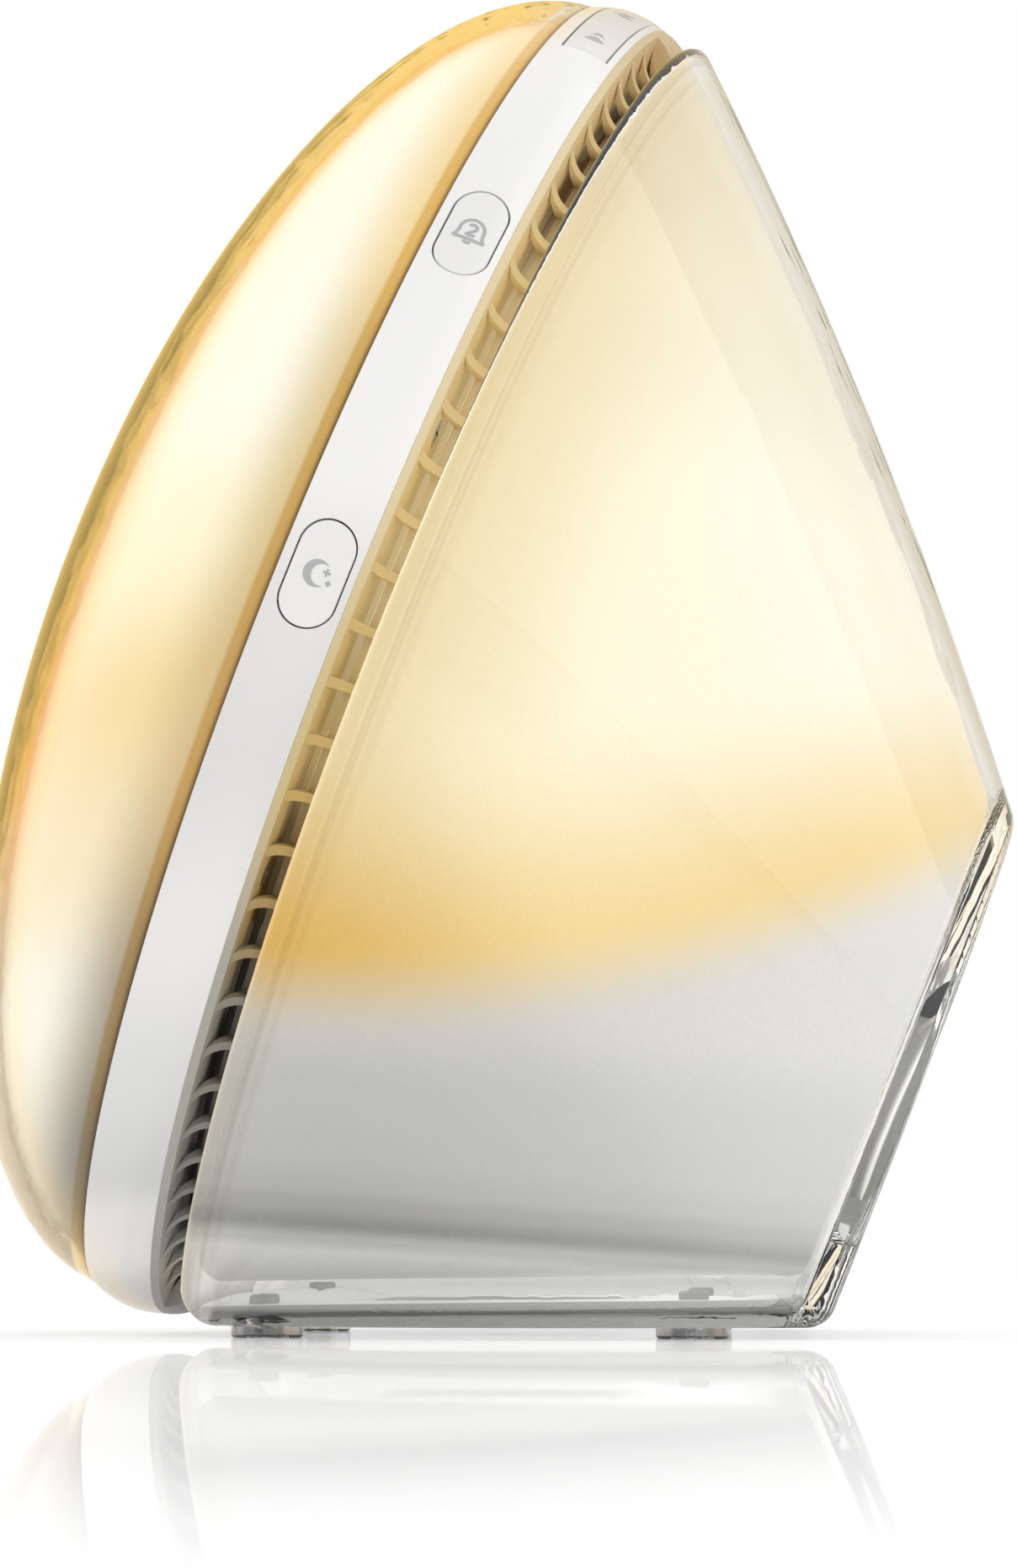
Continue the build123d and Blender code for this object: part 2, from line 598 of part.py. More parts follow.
def main_board():
    board = box_at(0, MAIN_BOARD_Y, MAIN_BOARD_DEPTH, *MAIN_BOARD_SIZE, BOARD_THICKNESS)
    board = fillet(board.edges().filter_by(Axis.Z), 2.0)
    for x, y in BOARD_POSTS:
        board -= rod_at(x, y, MAIN_BOARD_DEPTH - 1, 1.35, 5)
    return board


def processor_chips():
    places = [(-12, 26, 12, 12), (14, 12, 9, 6), (6, 36, 6, 6)]
    return group([box_at(x, y, BOARD_BACK, w, h, 1.5) for x, y, w, h in places])


def capacitors():
    places = [(-30, 8, 4.0, 12), (-30, 20, 4.0, 12), (-32, 33, 3.2, 9), (32, 5, 5.0, 14)]
    cans = []
    for x, y, radius, length in places:
        can = rod_at(x, y, BOARD_BACK, radius, length)
        cans.append(fillet(can.edges().group_by(Axis.Z)[0], 0.6))
    return group(cans)


def crystal():
    can = box_at(-12, 38, BOARD_BACK, 11, 4.6, 3.6)
    return fillet(can.edges().filter_by(Axis.Z), 2.2)


def backup_capacitor():
    return rod_at(18, 24, BOARD_BACK, 6.0, 5.5)


def tuner_can():
    can = box_at(24.5, 39, BOARD_BACK, 20, 16, 3.2)
    return fillet(can.edges().filter_by(Axis.Z), 1.0)


def board_connectors():
    places = [(-8, -4.4, 14, 5.5), (12, -4.4, 10, 5.5), (-20, 48, 12, 5.5)]
    shells = []
    for x, y, w, h in places:
        shell = box_at(x, y, BOARD_BACK, w, h, 6.0)
        shells.append(shell - box_at(x, y, BOARD_BACK + 2, w - 1.6, h - 1.6, 6.0))
    return group(shells)


def board_screws():
    return group([Pos(x, y, -BOARD_BACK) * screw(1.15, 7.0, 2.6, 1.6) for x, y in BOARD_POSTS])


# ---- speaker -----------------------------------------------------------------------------------------------------------
def speaker_piece(*points):
    """Turned piece of the speaker, drawn in (radius, depth)."""
    outline = make_face(Polyline(*[(radius, -depth) for radius, depth in points], close=True))
    return Pos(0, SPEAKER_Y, 0) * spin(outline)


def speaker_basket():
    frame = SPEAKER_FRAME_DEPTH
    basket = speaker_piece((SPEAKER_RADIUS, frame), (SPEAKER_RADIUS, frame + 1.5), (25.2, frame + 1.5),
                           (25.2, frame + 0.8), (15.2, 11.0), (10.0, 11.0), (10.0, 10.0), (16.0, 10.0),
                           (26.0, frame))
    for x, y in speaker_ears():
        basket += rod_at(x, y, frame, 3.6, 1.5)
        dx, dy = x * 0.9, SPEAKER_Y + (y - SPEAKER_Y) * 0.9
        basket += rod_at(dx, dy, frame, 3.6, 1.5)
    for x, y in speaker_ears():
        basket -= rod_at(x, y, frame - 1, 1.25, 4)
    window = box_at(0, SPEAKER_Y, 12.5, 9, 60, 5.5)
    return basket - window - Pos(0, SPEAKER_Y, 0) * Rot(0, 0, 90) * Pos(0, -SPEAKER_Y, 0) * window


def speaker_magnet():
    magnet = rod_at(0, SPEAKER_Y, PLATE_REAR_DEPTH, 14.0, 10.0 - PLATE_REAR_DEPTH)
    return fillet(magnet.edges().group_by(Axis.Z)[-1], 0.8)


def speaker_cone():
    frame = SPEAKER_FRAME_DEPTH
    return speaker_piece((22.6, frame + 0.9), (22.6, frame + 1.4), (6.2, 14.4), (6.2, 13.9))


def speaker_surround():
    middle, radius = 23.9, 1.3
    depth = SPEAKER_FRAME_DEPTH + 1.4
    roll = make_face([ThreePointArc((middle - radius, -depth), (middle, -depth - radius), (middle + radius, -depth)),
                      Line((middle + radius, -depth), (middle - radius, -depth))])
    return Pos(0, SPEAKER_Y, 0) * spin(roll)


def speaker_dust_cap():
    """Shallow cap of a ball, on the middle of the cone."""
    radius, height, seat = 6.2, 2.4, 14.4
    ball = (radius ** 2 + height ** 2) / (2 * height)
    cap = Pos(0, 0, ball - height) * Sphere(ball) & Box(30, 30, 10, align=(Align.CENTER, Align.CENTER, Align.MAX))
    return Pos(0, SPEAKER_Y, -seat) * cap


def speaker_screws():
    depth = SPEAKER_FRAME_DEPTH + 1.5
    return group([Pos(x, y, -depth) * screw(1.05, 7.0, 2.4, 1.4) for x, y in speaker_ears()])


# ---- buttons, keys and their switches ------------------------------------------------------------------------------------
def flex_distance(angle):
    """How far below the crown the switch board lies."""
    return normal_distance(angle, CROWN_RADIUS - FLEX_RADIUS) - 0.05


def stem(angle, start):
    """Round stem from a distance below the crown into the bore of its switch."""
    end = flex_distance(angle) - SWITCH_HEIGHT + STEM_ENTRY
    return sunk(angle, Circle(STEM_RADIUS), end, start)


def soften(shape, angle):
    """Round the outer edge of a cap."""
    nx, ny = outward(angle)
    x, y = on_oval(angle, CROWN_RADIUS)
    limit = x * nx + y * ny - 2.2
    rim = [edge for edge in shape.edges()
           if edge.center().X * nx + edge.center().Y * ny > limit and not is_side(edge, nx, ny)]
    return fillet(rim, 0.25)


def is_side(edge, nx, ny):
    """True for an edge that runs along the normal, from the cap's face to its foot."""
    run = edge.position_at(1) - edge.position_at(0)
    return edge.length > 0.01 and abs(run.X * nx + run.Y * ny) > 0.8 * edge.length


def band_button(angle):
    cap = sunk(angle, button_outline(), CAP_THICKNESS, -3) & band_blank(80.0)
    cap = soften(cap, angle)
    flange = sunk(angle, flange_outline(), CAP_THICKNESS + FLANGE_THICKNESS, CAP_THICKNESS)
    return cap + flange + stem(angle, CAP_THICKNESS + 0.1)


def strip_key(first, last):
    """Key of the top strip: curved bar with a lip under the band at its front and rear."""
    middle = (first + last) / 2
    bar = band_blank(KEY_INNER_RADIUS) & sector(first, last, KEY_FRONT_DEPTH + KEY_GAP, KEY_REAR_DEPTH - KEY_GAP)
    bar = soften(bar, middle)
    lip = hoop(KEY_INNER_RADIUS, KEY_LIP_RADIUS, KEY_FRONT_DEPTH - KEY_LIP_REACH,
               KEY_REAR_DEPTH + KEY_LIP_REACH)
    lip &= sector(first, last, 0, BAND_DEPTH)
    return bar + lip + stem(middle, CROWN_RADIUS - KEY_INNER_RADIUS - 0.3)


def key_limits(index):
    """Angles of a key's ends, with half of the gap taken off each."""
    first, last = KEY_EDGES[index], KEY_EDGES[index + 1]
    outer = math.degrees(KEY_GAP / CROWN_RADIUS)
    inner = math.degrees(KEY_SPLIT / 2 / CROWN_RADIUS)
    start = first + (outer if index == 0 else inner)
    end = last - (outer if index == len(KEY_NAMES) - 1 else inner)
    return start, end


def switch_angles():
    middles = [(KEY_EDGES[i] + KEY_EDGES[i + 1]) / 2 for i in range(len(KEY_NAMES))]
    return middles + list(BUTTON_ANGLES.values())


def switch_flex_board():
    strip = hoop(FLEX_RADIUS - FLEX_THICKNESS, FLEX_RADIUS, 1.2, 8.8)
    return strip & sector(-99, 99, 0, 20)


def tact_switches():
    bodies = []
    for angle in switch_angles():
        deep = flex_distance(angle)
        body = sunk(angle, Rectangle(SWITCH_SIZE, SWITCH_SIZE), deep, deep - SWITCH_HEIGHT)
        bore = sunk(angle, Circle(STEM_RADIUS + 0.2), deep - SWITCH_HEIGHT + 1.2, deep - SWITCH_HEIGHT - 1)
        bodies.append(body - bore)
    return group(bodies)


# ---- assembly ----------------------------------------------------------------------------------------------------------------
for piece in (front_cover, front_diffuser, trim_band, vent_ring, chassis, case_screws, lamp_board, lamp_leds,
              rear_lamp_board, rear_leds, heat_sink, display_housing, display_board, display_module,
              display_digits, ribbon_cable, main_board, processor_chips, capacitors, crystal,
              backup_capacitor, tuner_can, board_connectors, board_screws, speaker_basket, speaker_magnet,
              speaker_cone, speaker_surround, speaker_dust_cap, speaker_screws, switch_flex_board,
              tact_switches, socket_panel, power_jack, power_pin, antenna_gland):
    keep(piece.__name__, piece())
for piece in (rear_shell, rear_seat_ring, rear_diffuser, base_pan):
    keep(piece.__name__, piece(), placed=False)
for name, angle in BUTTON_ANGLES.items():
    keep(name, band_button(angle))
keep("lamp_key", strip_key(*key_limits(2)))
for index, name, twin in ((1, "brighter_key", "radio_key"), (4, "sound_key", "dimmer_key")):
    key = strip_key(*key_limits(index))
    keep(name, key)
    keep(twin, mirror(key, about=Plane.YZ))
keep("feet", group([foot(x, y) for x, y in FEET]), placed=False)
pan_top = BASE_HEIGHT + SHELL_WALL + PAN_THICKNESS
base_screw = Rot(180, 0, 0) * screw(0.9, 3.6, 2.0, 1.2)
keep("base_screws", group([Pos(x, y, pan_top) * base_screw for x, y in FEET]), placed=False)

os.makedirs("parts", exist_ok=True)
for name, shape in parts.items():
    export_step(shape, f"parts/{name}.step")

whole = Compound(children=[solid for shape in parts.values() for solid in shape.solids()]).bounding_box()
print("bounds", [round(v, 2) for v in (*whole.min, *whole.max)], "nodes", len(parts))
for name, angle in list(BUTTON_ANGLES.items()) + list(zip(KEY_NAMES, switch_angles())):
    seat = crown_plane(angle).origin
    nx, ny = outward(angle)
    inwards = (RING * Pos(seat.X - nx, seat.Y - ny, seat.Z)).position - (RING * Pos(*seat)).position
    spot = (RING * Pos(*seat)).position
    print(name, "at", [round(v, 3) for v in spot], "inwards", [round(v, 5) for v in inwards])
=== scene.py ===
import math

import bmesh
import bpy
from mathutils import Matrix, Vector
from mathutils.bvhtree import BVHTree


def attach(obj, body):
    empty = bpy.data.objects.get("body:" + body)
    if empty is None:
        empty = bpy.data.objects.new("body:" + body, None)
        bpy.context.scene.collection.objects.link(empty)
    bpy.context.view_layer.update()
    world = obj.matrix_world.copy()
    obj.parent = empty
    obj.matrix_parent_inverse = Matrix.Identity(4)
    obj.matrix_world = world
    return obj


bl_info = {
    "name": "Sunrise alarm clock",
    "version": (1, 0, 0),
    "blender": (4, 5, 0),
    "location": "3D View > Sidebar > Clock",
    "description": "Finishes, printed signs, lit figures and studio for a sunrise alarm clock",
    "category": "Object",
}

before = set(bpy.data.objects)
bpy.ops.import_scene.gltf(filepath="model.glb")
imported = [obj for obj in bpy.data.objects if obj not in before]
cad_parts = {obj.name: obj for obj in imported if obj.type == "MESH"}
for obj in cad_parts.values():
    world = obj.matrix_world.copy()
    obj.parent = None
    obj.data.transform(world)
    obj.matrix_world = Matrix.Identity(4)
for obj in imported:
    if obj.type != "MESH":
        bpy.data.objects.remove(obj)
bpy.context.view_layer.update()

MM = 0.001

# The leaning ring that the band, vents and covers are built on.
RING_TILT = math.radians(21.85)
RING_CENTRE = Vector((0.0, -20.275, 98.6)) * MM
RING_UP = Vector((0.0, math.sin(RING_TILT), math.cos(RING_TILT)))
RING_BACK = Vector((0.0, math.cos(RING_TILT), -math.sin(RING_TILT)))
RING_WIDTH = 0.915         # width of the ring's ovals over their height
CROWN_RADIUS = 100.2 * MM
BUTTON_DEPTH = 5.17 * MM   # from the band's front edge to the middle of a button
KEY_DEPTH = 5.55 * MM      # and to the middle of a key of the top strip
SHELL_EDGE = RING_CENTRE + RING_BACK * 14.5 * MM   # in the plane of the rear shell's front edge
# These depths and radii also bound the painted shade of the vent ring's front strip and of the hollow under
# its ribs, and the painted glow of its back face.
VENT_STRIP = (0.8 * MM, 2.4 * MM)       # depths over which the vent ring's front strip ends
VENT_BACK = (13.7 * MM, 14.1 * MM)      # and over which its back face begins
VENT_HOLLOW = (0.0915, 0.0945)          # radii over which the hollow under the ribs ends
SHARP_ANGLE = 0.5          # edges sharper than this, in radians, stay sharp
GRAIN_DEPTH = 0.05 * MM

CAMERA_PLACE = Vector((540.7, 34.86, 8.37)) * MM
CAMERA_TURN = math.radians(3.601)
CAMERA_TILT = math.radians(7.44)
FLOOR_REACH = 4.0          # half the floor's side, in metres
# Edges of the mirrored studio window on the three axes of the view direction.
WINDOW_EDGES = ((-0.335, -0.31), (0.3, 0.6), (-0.05, -0.01))

# Sign pieces: node, body, angle from the top towards +X, place on the band.
SIGNS = {
    "dusk_sign": ("dusk_button", "dusk_button_cap", 92.1, "side"),
    "alarm_two_sign": ("alarm_two_button", "alarm_two_button_cap", 63.2, "side"),
    "alarm_one_sign": ("alarm_one_button", "alarm_one_button_cap", -63.2, "side"),
    "menu_sign": ("menu_button", "menu_button_cap", -92.1, "side"),
    "lamp_sign": ("lamp_key", "lamp_key_cap", 0.0, "top"),
    "radio_sign": ("radio_key", "radio_key_cap", 23.0, "top"),
    "sound_sign": ("sound_key", "sound_key_cap", 33.6, "top"),
    "brighter_sign": ("brighter_key", "brighter_key_cap", -23.0, "top"),
    "dimmer_sign": ("dimmer_key", "dimmer_key_cap", -33.6, "top"),
}


def screen(red, green, blue):
    """Linear colour of a display colour given as 0 to 255."""
    return tuple(((c / 255 + 0.055) / 1.055) ** 2.4 if c > 10 else c / 255 / 12.92
                 for c in (red, green, blue))


# ---- settings -----------------------------------------------------------------------------------------
class ClockFinishes(bpy.types.PropertyGroup):
    """Colours and surfaces of the clock"""

    band_white: bpy.props.FloatVectorProperty(
        name="Band white", description="Gloss plastic of the band, buttons and keys",
        subtype="COLOR", default=screen(243, 242, 240), min=0, max=1)
    # Vent cream is partly the plastic's own pale colour and partly painted lamp light: the ring gets it only
    # at the heights where the lamp inside lights it.
    vent_cream: bpy.props.FloatVectorProperty(
        name="Vent cream", description="Plastic of the vent ring",
        subtype="COLOR", default=screen(232, 214, 170), min=0, max=1)
    sign_grey: bpy.props.FloatVectorProperty(
        name="Sign grey", description="Ink of the printed signs",
        subtype="COLOR", default=screen(186, 186, 186), min=0, max=1)
    sign_line: bpy.props.FloatProperty(
        name="Sign line", description="Width of a printed line",
        subtype="DISTANCE", default=0.48 * MM, min=0.1 * MM, max=1 * MM)
    sign_lift: bpy.props.FloatProperty(
        name="Sign lift", description="Height of the ink above the plastic",
        subtype="DISTANCE", default=0.03 * MM, min=0, max=0.2 * MM)
    clear_index: bpy.props.FloatProperty(
        name="Clear index", description="Refractive index of the clear covers",
        default=1.46, min=1.3, max=1.7)
    # Glow sets the strength of the lamp glow of the opal and the satin body, and also of the painted glow on
    # the vent ring, the chassis and the rear shell's edge.
    glow: bpy.props.FloatProperty(
        name="Glow", description="Strength of the lit covers", default=1.0, min=0, max=4)


class ClockStudio(bpy.types.PropertyGroup):
    """Light, floor and camera round the clock"""

    low_sky: bpy.props.FloatProperty(
        name="Low sky", description="Light from the sides and from below", default=0.66, min=0, max=3)
    high_sky: bpy.props.FloatProperty(
        name="High sky", description="Light from straight above", default=1.05, min=0, max=3)
    window: bpy.props.FloatProperty(
        name="Window", description="Brightness of the studio window that the gloss mirrors",
        default=1.9, min=0, max=10)
    lamp_side: bpy.props.FloatVectorProperty(
        name="Lamp side", description="Room behind the front cover, which the cover's edge mirrors",
        subtype="COLOR", default=screen(255, 216, 128), min=0, max=1)
    body_side: bpy.props.FloatVectorProperty(
        name="Body side", description="Room behind the rear shell, which the shell's edge mirrors",
        subtype="COLOR", default=screen(214, 204, 182), min=0, max=1)
    floor_mirror: bpy.props.FloatProperty(
        name="Floor mirror", description="Share of light that the floor mirrors beside the clock",
        subtype="FACTOR", default=0.42, min=0, max=1)
    floor_glow: bpy.props.FloatProperty(
        name="Floor glow", description="Light that the floor gives itself", default=0.33, min=0, max=2)
    lens: bpy.props.FloatProperty(
        name="Lens", description="Focal length of the camera", subtype="DISTANCE_CAMERA",
        default=86.32, min=20, max=200)


# ---- shader helpers -----------------------------------------------------------------------------------
GENERATED_PLACE, OBJECT_PLACE = 0, 3     # outputs of the Texture Coordinate node


class Value:
    """One number from a node; an expression on it adds Math nodes."""

    def __init__(self, finish, socket):
        self.finish = finish
        self.socket = socket

    def math(self, operation, *values):
        sockets = dict(enumerate(values))
        return self.finish.add("ShaderNodeMath", {"operation": operation}, sockets)

    def __add__(self, other):
        return self.math("ADD", self, other)

    def __sub__(self, other):
        return self.math("SUBTRACT", self, other)

    def __rsub__(self, other):
        return self.math("SUBTRACT", other, self)

    def __mul__(self, other):
        return self.math("MULTIPLY", self, other)

    def __truediv__(self, other):
        return self.math("DIVIDE", self, other)

    def larger(self, other):
        return self.math("MAXIMUM", self, other)

    def between(self, low, high):
        """0 below low, 1 above high, and smooth in between."""
        settings = {"interpolation_type": "SMOOTHSTEP"}
        sockets = {"Value": self, "From Min": low, "From Max": high}
        return self.finish.add("ShaderNodeMapRange", settings, sockets)


class Nodes:
    """Adds nodes to a tree, and sets or links their sockets."""

    def __init__(self, tree):
        self.tree = tree

    def feed(self, node, key, value):
        """Set a socket to a constant, or link it."""
        if isinstance(value, Value):
            self.tree.links.new(value.socket, node.inputs[key])
            return
        socket = node.inputs[key]
        if socket.type == "RGBA" and len(value) == 3:
            value = (*value, 1.0)
        socket.default_value = value

    def add(self, kind, settings=None, sockets=None, out=0):
        """New node: its settings first, then the values or links of its sockets."""
        node = self.tree.nodes.new(kind)
        for key, value in (settings or {}).items():
            if key == "stops":
                self.set_stops(node.color_ramp, value)
            else:
                setattr(node, key, value)
        for key, value in (sockets or {}).items():
            self.feed(node, key, value)
        return Value(self, node.outputs[out])

    @staticmethod
    def set_stops(ramp, stops):
        ramp.interpolation = "EASE"
        while len(ramp.elements) < len(stops):
            ramp.elements.new(0.5)
        for element, (place, colour) in zip(ramp.elements, stops):
            element.position = place
            element.color = (*colour, 1.0)

    def gap(self, place, centre):
        """Distance between two places."""
        return self.add("ShaderNodeVectorMath", {"operation": "DISTANCE"}, {0: place, 1: centre}, out=1)

    def axes(self, out):
        """The three numbers of one of the texture coordinates."""
        place = self.add("ShaderNodeTexCoord", out=out)
        split = self.add("ShaderNodeSeparateXYZ", sockets={"Vector": place}).socket.node
        return [Value(self, socket) for socket in split.outputs]

    def ramp(self, value, stops):
        """Colour by a number; stops pair the number with a colour."""
        low, high = stops[0][0], stops[-1][0]
        spread = self.add("ShaderNodeMapRange", sockets={"Value": value, "From Min": low, "From Max": high})
        scaled = [((place - low) / (high - low), colour) for place, colour in stops]
        return self.add("ShaderNodeValToRGB", {"stops": scaled}, {"Fac": spread})

    def blend(self, share, first, second):
        """Colour between two colours."""
        node = self.add("ShaderNodeMix", {"data_type": "RGBA"}).socket.node
        self.feed(node, 0, share)
        self.feed(node, 6, first)
        self.feed(node, 7, second)
        return Value(self, node.outputs[2])


class Finish(Nodes):
    """A material with a Principled surface, and the nodes that feed it."""

    def __init__(self, name, **surface):
        self.material = bpy.data.materials.new(name)
        self.material.use_nodes = True
        super().__init__(self.material.node_tree)
        self.surface = self.tree.nodes["Principled BSDF"]
        for key, value in surface.items():
            self.set(key.replace("_", " ").title().replace("Ior", "IOR"), value)

    def set(self, key, value):
        self.feed(self.surface, key, value)

    def facing_away(self):
        """0 where the surface faces the eye and 1 at its silhouette."""
        return self.add("ShaderNodeLayerWeight", sockets={"Blend": 0.5}, out=1)

    def along(self, direction, origin=RING_CENTRE):
        """Distance in metres from an origin along a direction, as a number."""
        total = -origin.dot(direction)
        for axis, part in zip(self.axes(OBJECT_PLACE), direction):
            if abs(part) > 1e-9:
                total = axis * part + total
        return total

    def radius(self):
        """Distance in metres from the ring's axis, on the scale of the ovals' height."""
        across = self.along(Vector((1, 0, 0)), Vector()) / RING_WIDTH
        flat = self.add("ShaderNodeCombineXYZ", sockets={0: across, 1: self.along(RING_UP)})
        return self.add("ShaderNodeVectorMath", {"operation": "LENGTH"}, {0: flat}, out=1)

    def height(self):
        """Height above the table in metres."""
        return self.along(Vector((0, 0, 1)), Vector())

    def distance(self, centre):
        """Distance in metres from a point of the clock."""
        return self.gap(self.add("ShaderNodeTexCoord", out=OBJECT_PLACE), centre)

    def noise(self, scale, detail=2.0, stretch=None):
        """Soft noise between 0 and 1, at a scale in cycles per metre."""
        place = self.add("ShaderNodeTexCoord", out=OBJECT_PLACE)
        if stretch:
            place = self.add("ShaderNodeMapping", sockets={"Vector": place, "Scale": stretch})
        return self.add("ShaderNodeTexNoise", sockets={"Vector": place, "Scale": scale, "Detail": detail})

    def grain(self, scale, height):
        """Fine bump of moulded plastic."""
        bump = self.add("ShaderNodeBump", sockets={
            "Height": self.noise(scale), "Strength": height, "Distance": GRAIN_DEPTH})
        self.set("Normal", bump)

    def polish(self, low, high, scale=90.0):
        """Roughness that wanders a little between two values."""
        self.set("Roughness", self.noise(scale) * (high - low) + low)

    def dress(self, *nodes):
        """Put this finish on CAD nodes."""
        for name in nodes:
            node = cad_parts[name]
            node.data.materials.clear()
            node.data.materials.append(self.material)


# ---- mesh helpers -------------------------------------------------------------------------------------
def smooth(*nodes):
    """Shade CAD nodes smooth, apart from their sharp edges."""
    for name in nodes:
        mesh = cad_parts[name].data
        mesh.shade_smooth()
        mesh.set_sharp_from_angle(angle=SHARP_ANGLE)


def place_piece(name, mesh, material, body):
    piece = bpy.data.objects.new(name, mesh)
    bpy.context.scene.collection.objects.link(piece)
    mesh.materials.append(material)
    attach(piece, body)
    return piece


def arc(radius, first, last, centre=(0.0, 0.0), steps=16):
    """Points of an arc; angles in degrees, counter-clockwise from the right."""
    points = []
    for i in range(steps + 1):
        turn = math.radians(first + (last - first) * i / steps)
        points.append((centre[0] + radius * math.cos(turn), centre[1] + radius * math.sin(turn)))
    return points


def divided(points, step=0.4):
    """The same line with points no further apart than a step."""
    line = [Vector(points[0])]
    for point in points[1:]:
        start, end = line[-1], Vector(point)
        pieces = max(1, math.ceil((end - start).length / step))
        line += [start.lerp(end, i / pieces) for i in range(1, pieces + 1)]
    return line


def ribbon(points, width):
    """Two edges of a line of even width, with its ends cut square."""
    line = divided(points)
    left, right = [], []
    for i, point in enumerate(line):
        run = line[min(i + 1, len(line) - 1)] - line[max(i - 1, 0)]
        side = Vector((-run.y, run.x)).normalized() * width / 2
        left.append(point + side)
        right.append(point - side)
    return left, right


class Printer:
    """Prints flat strips on a node's surface as thin raised ink."""

    def __init__(self, node, origin, right, up, facing, lift):
        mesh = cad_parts[node].data
        self.tree = BVHTree.FromPolygons([v.co for v in mesh.vertices], [p.vertices for p in mesh.polygons])
        self.origin, self.right, self.up, self.facing = origin, right, up, facing
        self.lift = lift
        self.form = bmesh.new()

    def seat(self, point, height):
        """Place above the surface for a point of the flat drawing, in millimetres."""
        start = self.origin + (self.right * point[0] + self.up * point[1]) * MM + self.facing * 20 * MM
        place, normal, _index, _distance = self.tree.ray_cast(start, -self.facing)
        if place is None:
            raise RuntimeError("a sign runs off the surface that it is printed on")
        return place + normal * height

    def strip(self, left, right):
        """Closed thin strip between two lines with the same number of points."""
        rows = []
        for a, b in zip(left, right):
            corners = ((a, self.lift), (b, self.lift), (b, -self.lift), (a, -self.lift))
            rows.append([self.form.verts.new(self.seat(point, height)) for point, height in corners])
        for first, second in zip(rows, rows[1:]):
            for i in range(4):
                j = (i + 1) % 4
                self.form.faces.new((first[i], first[j], second[j], second[i]))
        self.form.faces.new(rows[0][::-1])
        self.form.faces.new(rows[-1])

    def line(self, points, width):
        self.strip(*ribbon(points, width))

    def mesh(self, name):
        bmesh.ops.recalc_face_normals(self.form, faces=self.form.faces)
        mesh = bpy.data.meshes.new(name)
        self.form.to_mesh(mesh)
        self.form.free()
        return mesh


def sign_printer(name, lift):
    """Printer on a button or key, with its drawing upright for a person at the clock's front or side."""
    node, _body, angle, place = SIGNS[name]
    turn = math.radians(angle)
    across = Vector((1.0, 0.0, 0.0))
    depth = BUTTON_DEPTH if place == "side" else KEY_DEPTH
    origin = RING_CENTRE + RING_BACK * depth + CROWN_RADIUS * (
        across * RING_WIDTH * math.sin(turn) + RING_UP * math.cos(turn))
    facing = (across * math.sin(turn) / RING_WIDTH + RING_UP * math.cos(turn)).normalized()
    up = RING_BACK
    if place == "side":
        up = RING_BACK.cross(facing) if angle < 0 else facing.cross(RING_BACK)
    return Printer(node, origin, up.cross(facing), up, facing, lift)


# ---- drawings of the signs, in millimetres -------------------------------------------------------------
def draw_moon(ink, line):
    """Crescent with two small stars."""
    outer = arc(1.75, 50, 310, steps=26)
    inner = arc(1.36, 72, 288, (0.66, 0.0), steps=26)
    ink.strip([Vector(p) for p in outer], [Vector(p) for p in inner])
    for x, y, size in ((1.15, 0.45, 0.5), (1.75, -0.75, 0.36)):
        ink.line([(x - size, y), (x + size, y)], line * 0.7)
        ink.line([(x, y - size), (x, y + size)], line * 0.7)


def draw_bell(ink, line):
    """Outline of a bell with its clapper."""
    side = [(-2.1, -1.35), (-1.75, -0.95), (-1.6, -0.2)]
    dome = arc(1.6, 180, 0, (0.0, 0.2), steps=18)
    ink.line(side + dome + [(-x, y) for x, y in reversed(side)], line)
    ink.line([(-2.1, -1.35), (2.1, -1.35)], line)
    ink.line(arc(0.45, 200, 340, (0.0, -1.55), steps=6), line)


def draw_bell_one(ink, line):
    draw_bell(ink, line)
    ink.line([(-0.4, 0.65), (0.1, 1.05), (0.1, -0.75)], line)


def draw_bell_two(ink, line):
    draw_bell(ink, line)
    ink.line(arc(0.52, 160, -40, (0.0, 0.5), steps=10) + [(-0.55, -0.7), (0.65, -0.7)], line)


def draw_menu(ink, line):
    for y in (1.2, 0.0, -1.2):
        ink.line([(-1.6, y), (1.6, y)], line)


def draw_rays(ink, line, radius, inner, outer):
    """Small sun: a ring with eight rays."""
    ink.line(arc(radius, 0, 360, steps=20), line)
    for i in range(8):
        turn = math.radians(45 * i)
        ray = Vector((math.cos(turn), math.sin(turn)))
        ink.line([ray * inner, ray * outer], line * 0.8)


def draw_lamp(ink, line):
    draw_rays(ink, line, 0.75, 1.15, 1.8)


def draw_brighter(ink, line):
    draw_rays(ink, line, 0.85, 1.25, 1.95)


def draw_dimmer(ink, line):
    draw_rays(ink, line, 0.6, 0.95, 1.25)


def draw_speaker(ink, line):
    """Loudspeaker with three sound waves."""
    ink.strip([Vector((-1.9, 0.5)), Vector((-1.35, 0.5)), Vector((-0.6, 1.15))],
              [Vector((-1.9, -0.5)), Vector((-1.35, -0.5)), Vector((-0.6, -1.15))])
    for radius in (0.75, 1.35, 1.95):
        ink.line(arc(radius, -42, 42, (-0.55, 0.0), steps=10), line * 0.85)


def draw_radio(ink, line):
    """Mast with waves to both sides."""
    ink.line([(0.0, -1.5), (0.0, 0.45)], line)
    for radius in (0.9, 1.6):
        for middle in (0, 180):
            ink.line(arc(radius, middle - 38, middle + 38, (0.0, 0.5), steps=8), line * 0.85)


DRAWINGS = {
    "dusk_sign": draw_moon,
    "alarm_two_sign": draw_bell_two,
    "alarm_one_sign": draw_bell_one,
    "menu_sign": draw_menu,
    "lamp_sign": draw_lamp,
    "radio_sign": draw_radio,
    "sound_sign": draw_speaker,
    "brighter_sign": draw_brighter,
    "dimmer_sign": draw_dimmer,
}


